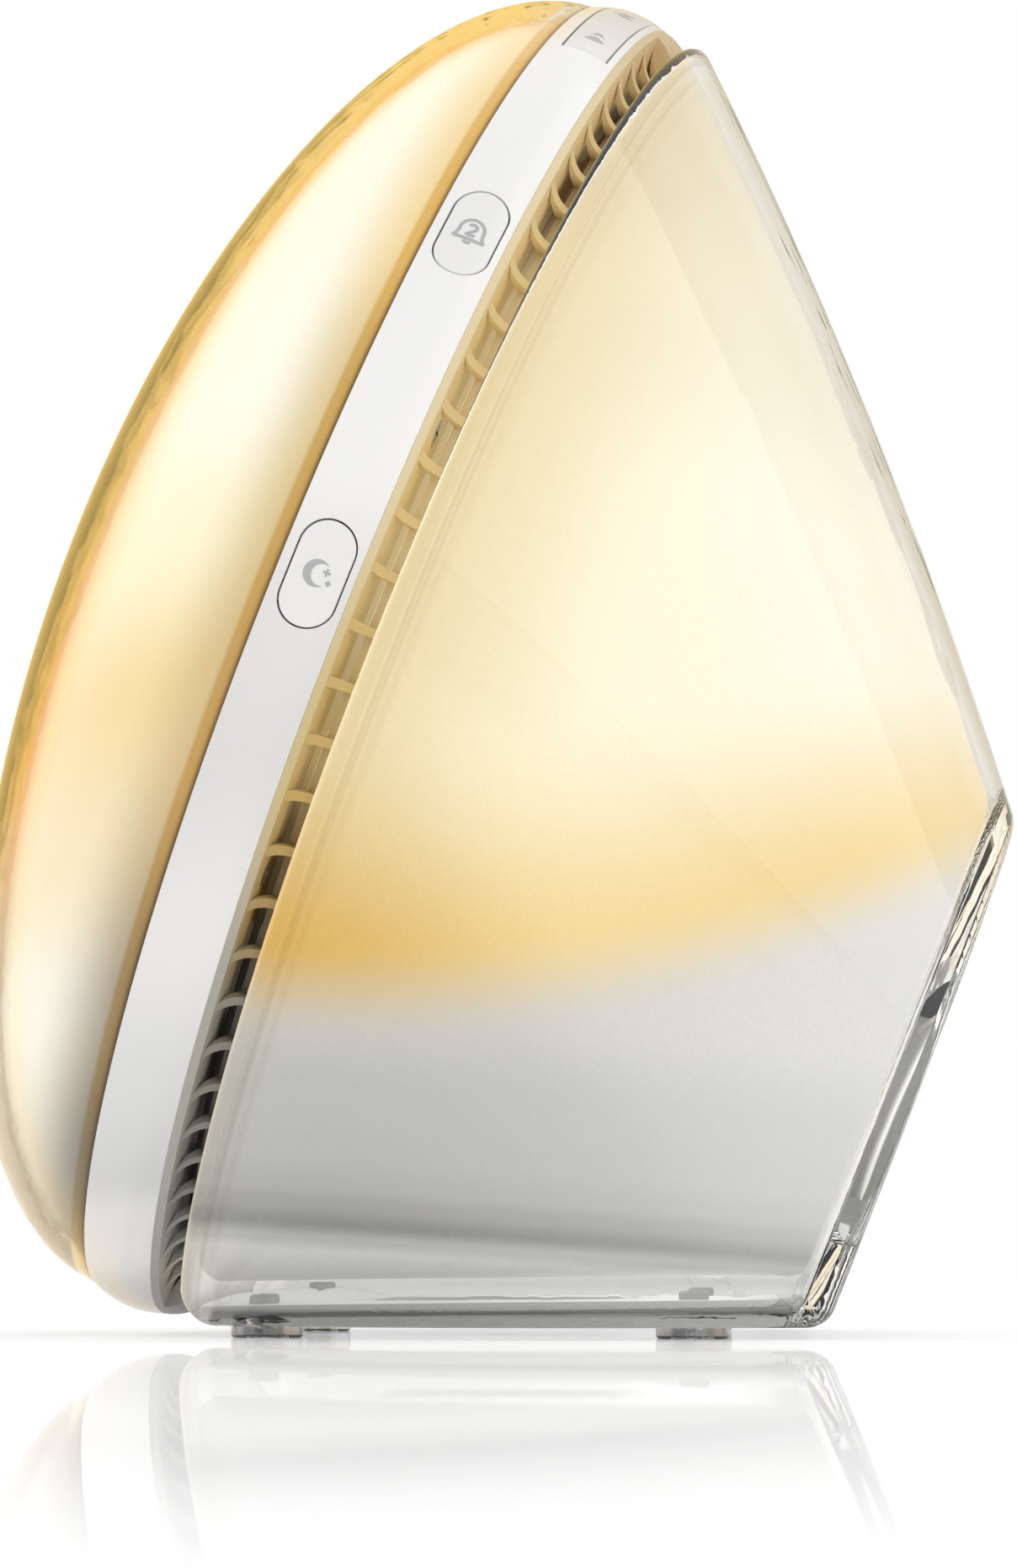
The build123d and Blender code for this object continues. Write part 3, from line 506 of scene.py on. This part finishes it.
# ---- operators ----------------------------------------------------------------------------------------
class CLOCK_OT_camera(bpy.types.Operator):
    """Set up the camera beside the clock, low over the table"""

    bl_idname = "clock.camera"
    bl_label = "Camera"

    def execute(self, context):
        data = bpy.data.cameras.new("side_camera")
        data.sensor_fit = "VERTICAL"
        data.sensor_height = 36.0
        data.lens = context.scene.clock_studio.lens
        data.clip_start = 5 * MM
        camera = bpy.data.objects.new("side_camera", data)
        context.scene.collection.objects.link(camera)
        camera.location = CAMERA_PLACE
        level = math.cos(CAMERA_TILT)
        aim = Vector((-math.cos(CAMERA_TURN) * level, -math.sin(CAMERA_TURN) * level, math.sin(CAMERA_TILT)))
        camera.rotation_euler = aim.to_track_quat("-Z", "Y").to_euler()
        context.scene.camera = camera
        context.scene.view_settings.view_transform = "Standard"
        return {"FINISHED"}


class CLOCK_OT_stage(bpy.types.Operator):
    """Lay the floor and hang the lights"""

    bl_idname = "clock.stage"
    bl_label = "Stage"

    def execute(self, context):
        studio = context.scene.clock_studio
        self.lay_floor(studio)
        self.light_sky(context.scene, studio)
        self.follow_light(context.scene.cycles)
        return {"FINISHED"}

    @staticmethod
    def follow_light(cycles):
        """Enough bounces for light that runs along inside the clear walls."""
        cycles.max_bounces = 24
        cycles.glossy_bounces = 12
        cycles.transmission_bounces = 24

    def lay_floor(self, studio):
        mesh = bpy.data.meshes.new("floor")
        corners = [(x * FLOOR_REACH, y * FLOOR_REACH, 0) for x, y in ((-1, -1), (1, -1), (1, 1), (-1, 1))]
        mesh.from_pydata(corners, [], [(0, 1, 2, 3)])
        floor = bpy.data.objects.new("floor", mesh)
        bpy.context.scene.collection.objects.link(floor)
        paint = Finish("floor_white", base_color=screen(240, 240, 240), roughness=0.9)
        paint.set("Specular IOR Level", 0.0)
        mirror = paint.add("ShaderNodeBsdfAnisotropic", sockets={"Color": (1.0, 1.0, 1.0), "Roughness": 0.02})
        glow = paint.add("ShaderNodeEmission", sockets={"Strength": studio.floor_glow})
        lit = paint.add("ShaderNodeAddShader")
        paint.feed(lit.socket.node, 0, Value(paint, paint.surface.outputs[0]))
        paint.feed(lit.socket.node, 1, glow)
        far = paint.along(Vector((1, 0, 0)), Vector()).between(0.34, 0.46)
        share = (1 - far * 0.75) * studio.floor_mirror
        mixed = paint.add("ShaderNodeMixShader", sockets={0: share, 1: lit, 2: mirror})
        paint.feed(paint.tree.nodes["Material Output"], "Surface", mixed)
        mesh.materials.append(paint.material)

    def light_sky(self, scene, studio):
        """White for the camera and through glass, a window and a toned room for the gloss, and soft light."""
        world = bpy.data.worlds.new("white_room")
        world.use_nodes = True
        sky = Nodes(world.node_tree)
        direction = sky.axes(GENERATED_PLACE)
        soft = direction[2].between(-0.1, 1.0) * (studio.high_sky - studio.low_sky) + studio.low_sky
        x, y, z = (part.between(*edges) for part, edges in zip(direction, WINDOW_EDGES))
        window = x * y * z
        mirrored = window * (studio.window - 1.0) + 1.0
        paths = sky.add("ShaderNodeLightPath").socket.node
        through = Value(sky, paths.outputs["Is Transmission Ray"])
        seen = Value(sky, paths.outputs["Is Camera Ray"]).larger(through)
        glossy = Value(sky, paths.outputs["Is Glossy Ray"]) * (1 - seen)
        straight_on = sky.gap(sky.add("ShaderNodeTexCoord", out=GENERATED_PLACE), (-1.0, 0.0, 0.04))
        behind = straight_on.between(0.2, 0.32) * (1 - straight_on.between(0.8, 1.1))
        side = sky.blend(direction[1].between(-0.1, 0.1), tuple(studio.lamp_side), tuple(studio.body_side))
        background = world.node_tree.nodes["Background"]
        sky.feed(background, "Color", sky.blend(behind * glossy, (1.0, 1.0, 1.0), side))
        sky.feed(background, "Strength", seen + (1 - seen - glossy) * soft + glossy * mirrored)
        scene.world = world


class CLOCK_OT_clear_covers(bpy.types.Operator):
    """Clear acrylic of the front cover, the rear shell and the feet"""

    bl_idname = "clock.clear_covers"
    bl_label = "Clear covers"

    CLEAR = screen(252, 252, 250)

    def execute(self, context):
        index = context.scene.clock_finishes.clear_index
        # Front cover: the rim stops paint a shadow line where the cover meets the band and amber lamp light
        # along its edge; the wall stops paint lamp light by height, grey low down where it is unlit and amber
        # above.
        self.cover("front_clear", "front_cover", index, (0.65, 0.76), -RING_BACK, RING_CENTRE, rim=[
            (0.0, screen(96, 76, 44)), (0.0003, screen(150, 124, 78)), (0.0007, screen(226, 204, 152)),
            (0.0012, screen(236, 214, 160)), (0.0017, screen(230, 208, 156)), (0.0024, self.CLEAR)], wall=[
            (0.0, screen(110, 102, 90)), (0.021, screen(128, 118, 104)), (0.045, screen(160, 150, 132)),
            (0.075, screen(248, 150, 34)), (0.12, screen(248, 170, 58)), (0.2, screen(248, 184, 72))])
        # Rear shell: the rim stops paint light and dark lines along the front edge, for the wall's edge seen
        # through the clear plastic; the wall stops paint lamp light by height; the foot stops paint a shadow
        # line just above the table and darker grey below it; the light stops paint a glow along the front
        # edge, which is no lamp.
        self.cover("rear_clear", "rear_shell", index, (0.7, 0.86), RING_BACK, SHELL_EDGE, rim=[
            (0.0, screen(205, 202, 194)), (0.0004, self.CLEAR), (0.0011, screen(246, 244, 238)),
            (0.0024, screen(246, 244, 238)), (0.0028, screen(230, 226, 218)), (0.0033, screen(250, 249, 246)),
            (0.0042, screen(246, 244, 238)), (0.0055, self.CLEAR)], wall=[
            (0.0, screen(200, 200, 198)), (0.05, screen(206, 204, 200)), (0.085, screen(206, 192, 160)),
            (0.12, screen(204, 190, 164)), (0.15, screen(226, 218, 198)),
            (0.2, screen(236, 222, 190))], foot=[
            (0.0, screen(150, 150, 148)), (0.0027, screen(150, 150, 148)), (0.0033, screen(104, 104, 102)),
            (0.0042, screen(230, 230, 228)), (0.006, screen(230, 230, 228)), (0.0073, screen(222, 222, 220)),
            (0.0095, screen(238, 238, 236)), (0.012, screen(250, 250, 248))], light=[
            (0.0, screen(150, 136, 106)), (0.0003, screen(112, 100, 78)), (0.0006, (0.0, 0.0, 0.0))])
        feet = Finish("clear_feet", ior=index, transmission_weight=0.85)
        bars = feet.noise(260.0, 1.0, (1.0, 1.0, 0.0)).between(0.42, 0.56)
        feet.set("Base Color", feet.blend(bars, screen(128, 128, 130), screen(238, 239, 240)))
        feet.set("Roughness", feet.noise(60.0) * 0.03 + 0.03)
        feet.dress("feet")
        smooth("front_cover", "rear_shell", "feet")
        return {"FINISHED"}

    def cover(self, name, node, index, turn, inward, edge, rim, wall, foot=None, light=None):
        """Clear acrylic with lamp light and shade painted into its colour.

        Where it is seen along its wall it takes the colour of the wall stops: the lamp's colour where the
        lamp lights it, grey where it is unlit. The rim stops paint light and shade lines along the edge, the
        foot stops a shadow line near the table, and the light stops a glow along the edge. The stops of rim
        and light go by the distance from the edge, those of wall and foot by height.
        """
        clear = Finish(name, ior=index, transmission_weight=1.0)
        height = clear.height()
        # Clear where seen face on; seen along the wall, the painted lamp light of the wall stops.
        tint_and_painted_light = clear.blend(clear.facing_away().between(*turn), self.CLEAR, clear.ramp(height, wall))
        if foot:
            # Painted shadow line and darker grey near the table.
            tint_and_painted_light = clear.blend(height.between(0.009, 0.012), clear.ramp(height, foot), tint_and_painted_light)
        from_edge = clear.along(inward, edge)
        reach = rim[-1][0]
        # Painted light and shade lines along the edge.
        tint_and_painted_light = clear.blend(from_edge.between(reach * 0.8, reach), clear.ramp(from_edge, rim), tint_and_painted_light)
        clear.set("Base Color", tint_and_painted_light)
        # Painted glow along the edge.
        if light:
            clear.set("Emission Color", clear.ramp(from_edge, light))
            clear.set("Emission Strength", bpy.context.scene.clock_finishes.glow)
        clear.set("Roughness", clear.noise(40.0) * 0.012)
        clear.dress(node)


class CLOCK_OT_front_glow(bpy.types.Operator):
    """Lit opal behind the front cover"""

    bl_idname = "clock.front_glow"
    bl_label = "Front glow"

    def execute(self, context):
        opal = Finish("opal_acrylic", coat_weight=1.0, coat_roughness=0.15)
        opal.set("Coat IOR", 1.06)
        opal.set("Coat Tint", (1.0, 0.975, 0.88))
        height = opal.height()
        forward = opal.along(-RING_BACK)
        # Glow of the opal, set by height and by how far forward it is: partly real lamp glow, white to cream
        # in the middle and deeper amber at the crest. Low down, where the real opal is unlit, the grey
        # emission is painted light standing in for the room's light.
        middle = opal.ramp(height, [
            (0.0, screen(120, 114, 112)), (0.021, screen(206, 202, 206)), (0.042, screen(240, 240, 246)),
            (0.06, screen(240, 226, 200)), (0.08, screen(242, 218, 164)), (0.1, screen(253, 246, 224)),
            (0.118, screen(255, 255, 255)), (0.165, screen(255, 255, 255)), (0.2, screen(250, 236, 205))])
        crest = opal.ramp(height, [
            (0.0, screen(84, 80, 78)), (0.021, screen(150, 145, 146)), (0.042, screen(230, 225, 221)),
            (0.08, screen(244, 212, 150)), (0.118, screen(250, 232, 186)), (0.14, screen(255, 244, 206)),
            (0.2, screen(250, 222, 152))])
        # Painted shade: within 12 mm of the band the glow darkens towards it.
        edge = opal.ramp(height, [
            (0.0, screen(50, 47, 44)), (0.021, screen(66, 61, 57)), (0.042, screen(142, 129, 110)),
            (0.073, screen(200, 174, 120)), (0.118, screen(212, 188, 130)), (0.14, screen(238, 210, 146)),
            (0.2, screen(238, 208, 136))])
        # Painted shadow in the gap between the opal and the band.
        seam_shadow = opal.blend(forward.between(-0.5 * MM, 0.7 * MM), screen(60, 46, 26), edge)
        face = opal.blend(forward.between(18 * MM, 30 * MM), middle, crest)
        opal.set("Emission Color", opal.blend(forward.between(0.5 * MM, 12 * MM), seam_shadow, face))
        opal.set("Emission Strength", context.scene.clock_finishes.glow)
        opal.set("Base Color", opal.ramp(height, [
            (0.0, screen(90, 86, 82)), (0.05, screen(80, 76, 70)), (0.2, screen(44, 42, 38))]))
        opal.polish(0.35, 0.45)
        opal.dress("front_diffuser")
        smooth("front_diffuser")
        return {"FINISHED"}


class CLOCK_OT_rear_glow(bpy.types.Operator):
    """Lit satin body inside the rear shell"""

    bl_idname = "clock.rear_glow"
    bl_label = "Rear glow"

    LAMP_MIDDLE = (0.0, 0.034, 0.092)   # of the light inside the body

    def execute(self, context):
        satin = Finish("satin_acrylic")
        height = satin.height()
        along = satin.along(Vector((0, 1, 0)), Vector((0, -0.010, 0)))
        level = height - along * along * 3.86
        lamp = satin.ramp(satin.distance(self.LAMP_MIDDLE), [
            (0.055, screen(253, 247, 225)), (0.076, screen(254, 247, 219)), (0.09, screen(252, 241, 204)),
            (0.105, screen(246, 226, 174)), (0.13, screen(230, 208, 156))])
        lamp = satin.blend(height.between(0.105, 0.135), lamp, screen(240, 231, 202))
        near = satin.blend(height.between(0.134, 0.152), screen(232, 213, 162), screen(218, 198, 150))
        lamp = satin.blend(satin.along(RING_BACK).between(0.01, 0.042), near, lamp)
        amber = satin.blend(along.between(-0.012, 0.028), screen(215, 168, 42), screen(242, 210, 134))
        warm = satin.blend(level.between(0.046, 0.076), amber, lamp)
        # Painted light: the lower, unlit part of the body gets a grey glow, brighter towards the back.
        cool = satin.blend(along.between(-0.01, 0.07), screen(130, 130, 128), screen(164, 164, 163))
        lit = level.between(0.037, 0.05)
        satin.set("Emission Color", satin.blend(lit, cool, warm))
        satin.set("Emission Strength", context.scene.clock_finishes.glow * 0.94)
        streak = height + satin.along(Vector((0, 1, 0)), Vector()) * 0.077
        # Painted shade in the base colour: lighter near the table, a dark streak about 14 mm up along a
        # slight slope, and grey above.
        shade = satin.ramp(streak, [
            (0.0, screen(240, 240, 240)), (0.0105, screen(236, 236, 236)), (0.0122, screen(184, 184, 184)),
            (0.0141, screen(20, 20, 20)), (0.0165, screen(136, 136, 136)), (0.019, screen(172, 172, 171)),
            (0.023, screen(186, 186, 185)), (0.03, screen(190, 190, 189)), (0.042, screen(212, 210, 207))])
        shade = satin.blend(lit, shade, screen(82, 70, 40))
        speckle = satin.noise(1600.0, 3.0).between(0.3, 0.7)
        satin.set("Base Color", satin.blend(speckle * 0.1, shade, screen(150, 150, 150)))
        satin.polish(0.4, 0.5)
        satin.grain(2600.0, 0.12)
        satin.dress("rear_diffuser", "rear_seat_ring", "base_pan")
        smooth("rear_diffuser", "rear_seat_ring")
        return {"FINISHED"}


class CLOCK_OT_band(bpy.types.Operator):
    """White gloss band with its buttons and keys"""

    bl_idname = "clock.band"
    bl_label = "Band and buttons"

    def execute(self, context):
        white = context.scene.clock_finishes.band_white
        gloss = Finish("band_gloss", coat_weight=0.5, coat_roughness=0.08, specular_ior_level=0.4)
        # Painted shade: the white band is made lighter and darker in bands by height, following how light
        # falls on it.
        shade = gloss.ramp(gloss.height(), [
            (0.0, screen(218, 218, 218)), (0.0055, screen(224, 224, 224)), (0.0105, screen(252, 252, 252)),
            (0.015, screen(244, 244, 244)), (0.021, screen(220, 220, 220)), (0.032, screen(228, 228, 227)),
            (0.05, screen(240, 239, 236)), (0.072, screen(228, 227, 224)), (0.088, screen(234, 232, 229)),
            (0.108, screen(250, 249, 246)), (0.15, screen(248, 247, 244)), (0.175, screen(252, 251, 249)),
            (0.2, screen(250, 250, 248))])
        gloss.set("Base Color", gloss.blend(gloss.noise(30.0) * 0.06, shade, tuple(white)))
        gloss.polish(0.18, 0.26)
        gloss.grain(900.0, 0.03)
        gloss.dress("trim_band")
        caps = [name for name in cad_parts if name.endswith(("_button", "_key"))]
        cap = Finish("cap_gloss", coat_weight=0.5, coat_roughness=0.08, specular_ior_level=0.4)
        cap.set("Base Color", cap.blend(cap.noise(60.0), tuple(white), tuple(c * 0.98 for c in white)))
        cap.polish(0.16, 0.24)
        cap.grain(1400.0, 0.02)
        cap.dress(*caps)
        smooth("trim_band", *caps)
        return {"FINISHED"}


class CLOCK_OT_vents(bpy.types.Operator):
    """Vent ring and the chassis that shows through its windows, with lamp light and shade painted into their
    colours by height
    """

    bl_idname = "clock.vents"
    bl_label = "Vents"

    def execute(self, context):
        cream = tuple(context.scene.clock_finishes.vent_cream)
        ring = Finish("vent_plastic", roughness=0.45)
        # Painted lamp light: grey low down where the ring is unlit, cream where the lamp inside lights it,
        # tan at the top.
        outside = ring.ramp(ring.height(), [
            (0.0, screen(176, 176, 174)), (0.045, screen(176, 172, 162)), (0.07, screen(212, 192, 140)),
            (0.11, cream), (0.15, cream), (0.19, screen(214, 188, 148))])
        # Painted shade in the hollow under the ribs: dark low down and at the top, cream where the lamp
        # lights it.
        inside = ring.ramp(ring.height(), [
            (0.0, screen(30, 28, 26)), (0.045, screen(48, 45, 41)), (0.06, screen(92, 76, 42)),
            (0.075, screen(198, 180, 138)), (0.1, screen(220, 206, 170)), (0.13, screen(214, 196, 156)),
            (0.15, screen(120, 90, 56)), (0.166, screen(56, 34, 16)), (0.19, screen(36, 20, 10))])
        # Painted shade on the front strip beside the band, darkest low down.
        strip = ring.ramp(ring.height(), [
            (0.0, screen(42, 40, 39)), (0.045, screen(60, 57, 51)), (0.06, screen(110, 96, 60)),
            (0.075, screen(176, 154, 106)), (0.1, screen(210, 190, 144)), (0.19, screen(196, 168, 126))])
        back = ring.along(RING_BACK)
        body = ring.blend(ring.radius().between(*VENT_HOLLOW), inside, outside)
        ring.set("Base Color", ring.blend(back.between(*VENT_STRIP), strip, body))
        # Painted glow on the back face, which is no lamp.
        behind = ring.ramp(ring.height(), [
            (0.0, screen(120, 118, 114)), (0.05, screen(150, 144, 130)), (0.08, screen(190, 168, 118)),
            (0.2, screen(206, 186, 140))])
        ring.set("Emission Color", ring.blend(back.between(*VENT_BACK), (0.0, 0.0, 0.0), behind))
        ring.set("Emission Strength", context.scene.clock_finishes.glow)
        ring.grain(1200.0, 0.05)
        ring.dress("vent_ring")
        core = Finish("chassis_plastic", roughness=0.6)
        # Painted light and shade on the chassis seen through the vents: dark low down and at the top, cream
        # where the lamp lights it.
        core.set("Base Color", core.ramp(core.height(), [
            (0.0, screen(14, 14, 14)), (0.045, screen(34, 32, 30)), (0.06, screen(66, 60, 50)),
            (0.075, screen(170, 156, 120)), (0.1, screen(206, 194, 164)), (0.13, screen(206, 194, 164)),
            (0.152, screen(104, 78, 48)), (0.168, screen(50, 30, 16)), (0.19, screen(36, 20, 10))]))
        # Painted glow, which is no lamp, in the same bands.
        core.set("Emission Color", core.ramp(core.height(), [
            (0.0, screen(8, 8, 8)), (0.05, screen(14, 13, 12)), (0.064, screen(66, 54, 28)),
            (0.073, screen(128, 114, 74)), (0.09, screen(130, 122, 98)), (0.13, screen(124, 116, 92)),
            (0.15, screen(48, 32, 18)), (0.19, screen(26, 12, 5))]))
        core.set("Emission Strength", context.scene.clock_finishes.glow)
        core.grain(800.0, 0.05)
        core.dress("chassis")
        smooth("vent_ring", "chassis")
        return {"FINISHED"}


class CLOCK_OT_signs(bpy.types.Operator):
    """Printed signs on the buttons and keys"""

    bl_idname = "clock.signs"
    bl_label = "Signs"

    def execute(self, context):
        finishes = context.scene.clock_finishes
        ink = Finish("sign_ink", roughness=0.4)
        grey = tuple(finishes.sign_grey)
        ink.set("Base Color", ink.blend(ink.noise(2500.0), grey, tuple(c * 0.9 for c in grey)))
        for name, draw in DRAWINGS.items():
            printer = sign_printer(name, finishes.sign_lift)
            draw(printer, finishes.sign_line / MM)
            place_piece(name, printer.mesh(name), ink.material, SIGNS[name][1])
        return {"FINISHED"}


class CLOCK_OT_time_figures(bpy.types.Operator):
    """Lit figures that shine through the opal: 7:00"""

    bl_idname = "clock.time_figures"
    bl_label = "Time figures"

    # Ends of each bar of a figure, in half widths and quarter heights.
    SEGMENTS = {"a": ((-1, 2), (1, 2)), "b": ((1, 2), (1, 0)), "c": ((1, 0), (1, -2)),
                "d": ((-1, -2), (1, -2)), "e": ((-1, 0), (-1, -2)), "f": ((-1, 2), (-1, 0))}
    FIGURES = ((-13.0, "abc"), (5.0, "abcdef"), (17.0, "abcdef"))   # middle and bars of 7, 0 and 0
    COLON = ((-4.8, -3.2), (-3.0, 3.0))    # ends of its dots, and their heights
    HALF_WIDTH, QUARTER_HEIGHT, BAR, BAR_GAP = 3.5, 3.5, 1.5, 1.0

    def execute(self, context):
        lit = Finish("figure_glow", base_color=screen(150, 90, 40), roughness=0.6)
        lit.set("Emission Color", lit.blend(lit.noise(400.0), screen(214, 124, 44), screen(232, 146, 60)))
        lit.set("Emission Strength", 0.8)
        printer = Printer("front_diffuser", RING_CENTRE - RING_BACK * 40 * MM,
                          Vector((1, 0, 0)), RING_UP, -RING_BACK, 0.05 * MM)
        for x, figure in self.FIGURES:
            for letter in figure:
                start, end = [Vector((x + px * self.HALF_WIDTH, py * self.QUARTER_HEIGHT))
                              for px, py in self.SEGMENTS[letter]]
                gap = (end - start).normalized() * self.BAR_GAP
                printer.line([start + gap, end - gap], self.BAR)
        (left, right), heights = self.COLON
        for y in heights:
            printer.line([(left, y), (right, y)], self.BAR)
        place_piece("time_figures", printer.mesh("time_figures"), lit.material, "clock")
        return {"FINISHED"}


class CLOCK_OT_rear_panel(bpy.types.Operator):
    """Socket panel low on the back"""

    bl_idname = "clock.rear_panel"
    bl_label = "Socket panel"

    def execute(self, context):
        panel = Finish("panel_plastic", roughness=0.5)
        panel.set("Base Color", panel.blend(panel.noise(120.0), screen(226, 226, 224), screen(218, 218, 216)))
        panel.grain(1500.0, 0.15)
        panel.dress("socket_panel")
        grey = Finish("jack_grey", base_color=screen(128, 128, 130))
        grey.polish(0.35, 0.5, 300.0)
        grey.dress("power_jack")
        rubber = Finish("gland_rubber", base_color=screen(118, 118, 120))
        rubber.polish(0.7, 0.85, 300.0)
        rubber.dress("antenna_gland")
        brass = Finish("pin_metal", base_color=screen(226, 206, 150), metallic=1.0)
        brass.polish(0.2, 0.35, 600.0)
        brass.dress("power_pin")
        smooth("socket_panel", "power_jack", "antenna_gland", "power_pin")
        return {"FINISHED"}


class CLOCK_OT_inner_pieces(bpy.types.Operator):
    """Finishes of the boards, lamps, speaker, switches and screws inside"""

    bl_idname = "clock.inner_pieces"
    bl_label = "Inner pieces"

    FINISHES = {
        "board_green": ((22, 92, 56), 0.45, 0.0, ("main_board", "display_board")),
        "board_white": ((236, 238, 236), 0.5, 0.0, ("lamp_board", "rear_lamp_board")),
        "flex_amber": ((204, 140, 52), 0.4, 0.0, ("switch_flex_board",)),
        "chip_black": ((30, 30, 32), 0.5, 0.0, ("processor_chips", "tact_switches", "display_module")),
        "phosphor": ((248, 226, 120), 0.4, 0.0, ("lamp_leds", "rear_leds")),
        "figure_amber": ((250, 170, 70), 0.4, 0.0, ("display_digits",)),
        "moulded_white": ((232, 232, 230), 0.5, 0.0, ("display_housing", "board_connectors")),
        "moulded_grey": ((84, 86, 90), 0.5, 0.0, ("speaker_basket", "ribbon_cable")),
        "plain_aluminium": ((202, 204, 206), 0.35, 1.0, ("heat_sink", "capacitors", "backup_capacitor")),
        "plated_steel": ((196, 196, 198), 0.3, 1.0, ("crystal", "tuner_can", "speaker_magnet", "case_screws",
                                                   "board_screws", "speaker_screws", "base_screws")),
        "cone_paper": ((60, 60, 62), 0.9, 0.0, ("speaker_cone", "speaker_dust_cap")),
        "surround_rubber": ((26, 26, 26), 0.7, 0.0, ("speaker_surround",)),
    }

    def execute(self, context):
        for name, (colour, roughness, metal, nodes) in self.FINISHES.items():
            finish = Finish(name, metallic=metal)
            linear = screen(*colour)
            darker = tuple(c * 0.88 for c in linear)
            finish.set("Base Color", finish.blend(finish.noise(300.0), linear, darker))
            finish.polish(roughness - 0.08, roughness + 0.08, 400.0)
            finish.dress(*nodes)
            smooth(*nodes)
        return {"FINISHED"}


class CLOCK_PT_panel(bpy.types.Panel):
    """Lists the steps that dress the clock"""

    bl_idname = "CLOCK_PT_panel"
    bl_label = "Sunrise alarm clock"
    bl_space_type = "VIEW_3D"
    bl_region_type = "UI"
    bl_category = "Clock"

    def draw(self, context):
        for group in (context.scene.clock_finishes, context.scene.clock_studio):
            box = self.layout.box()
            for key in group.__annotations__:
                box.prop(group, key)
        for step in STEPS:
            self.layout.operator(step.bl_idname)


STEPS = (CLOCK_OT_camera, CLOCK_OT_stage, CLOCK_OT_clear_covers, CLOCK_OT_front_glow, CLOCK_OT_rear_glow,
         CLOCK_OT_band, CLOCK_OT_vents, CLOCK_OT_signs, CLOCK_OT_time_figures, CLOCK_OT_rear_panel,
         CLOCK_OT_inner_pieces)
CLASSES = (ClockFinishes, ClockStudio, *STEPS, CLOCK_PT_panel)


def register():
    for item in CLASSES:
        bpy.utils.register_class(item)
    bpy.types.Scene.clock_finishes = bpy.props.PointerProperty(type=ClockFinishes)
    bpy.types.Scene.clock_studio = bpy.props.PointerProperty(type=ClockStudio)


def unregister():
    del bpy.types.Scene.clock_studio
    del bpy.types.Scene.clock_finishes
    for item in reversed(CLASSES):
        bpy.utils.unregister_class(item)


def main():
    register()
    for step in STEPS:
        group, name = step.bl_idname.split(".")
        getattr(getattr(bpy.ops, group), name)()


if __name__ == "__main__":
    main()
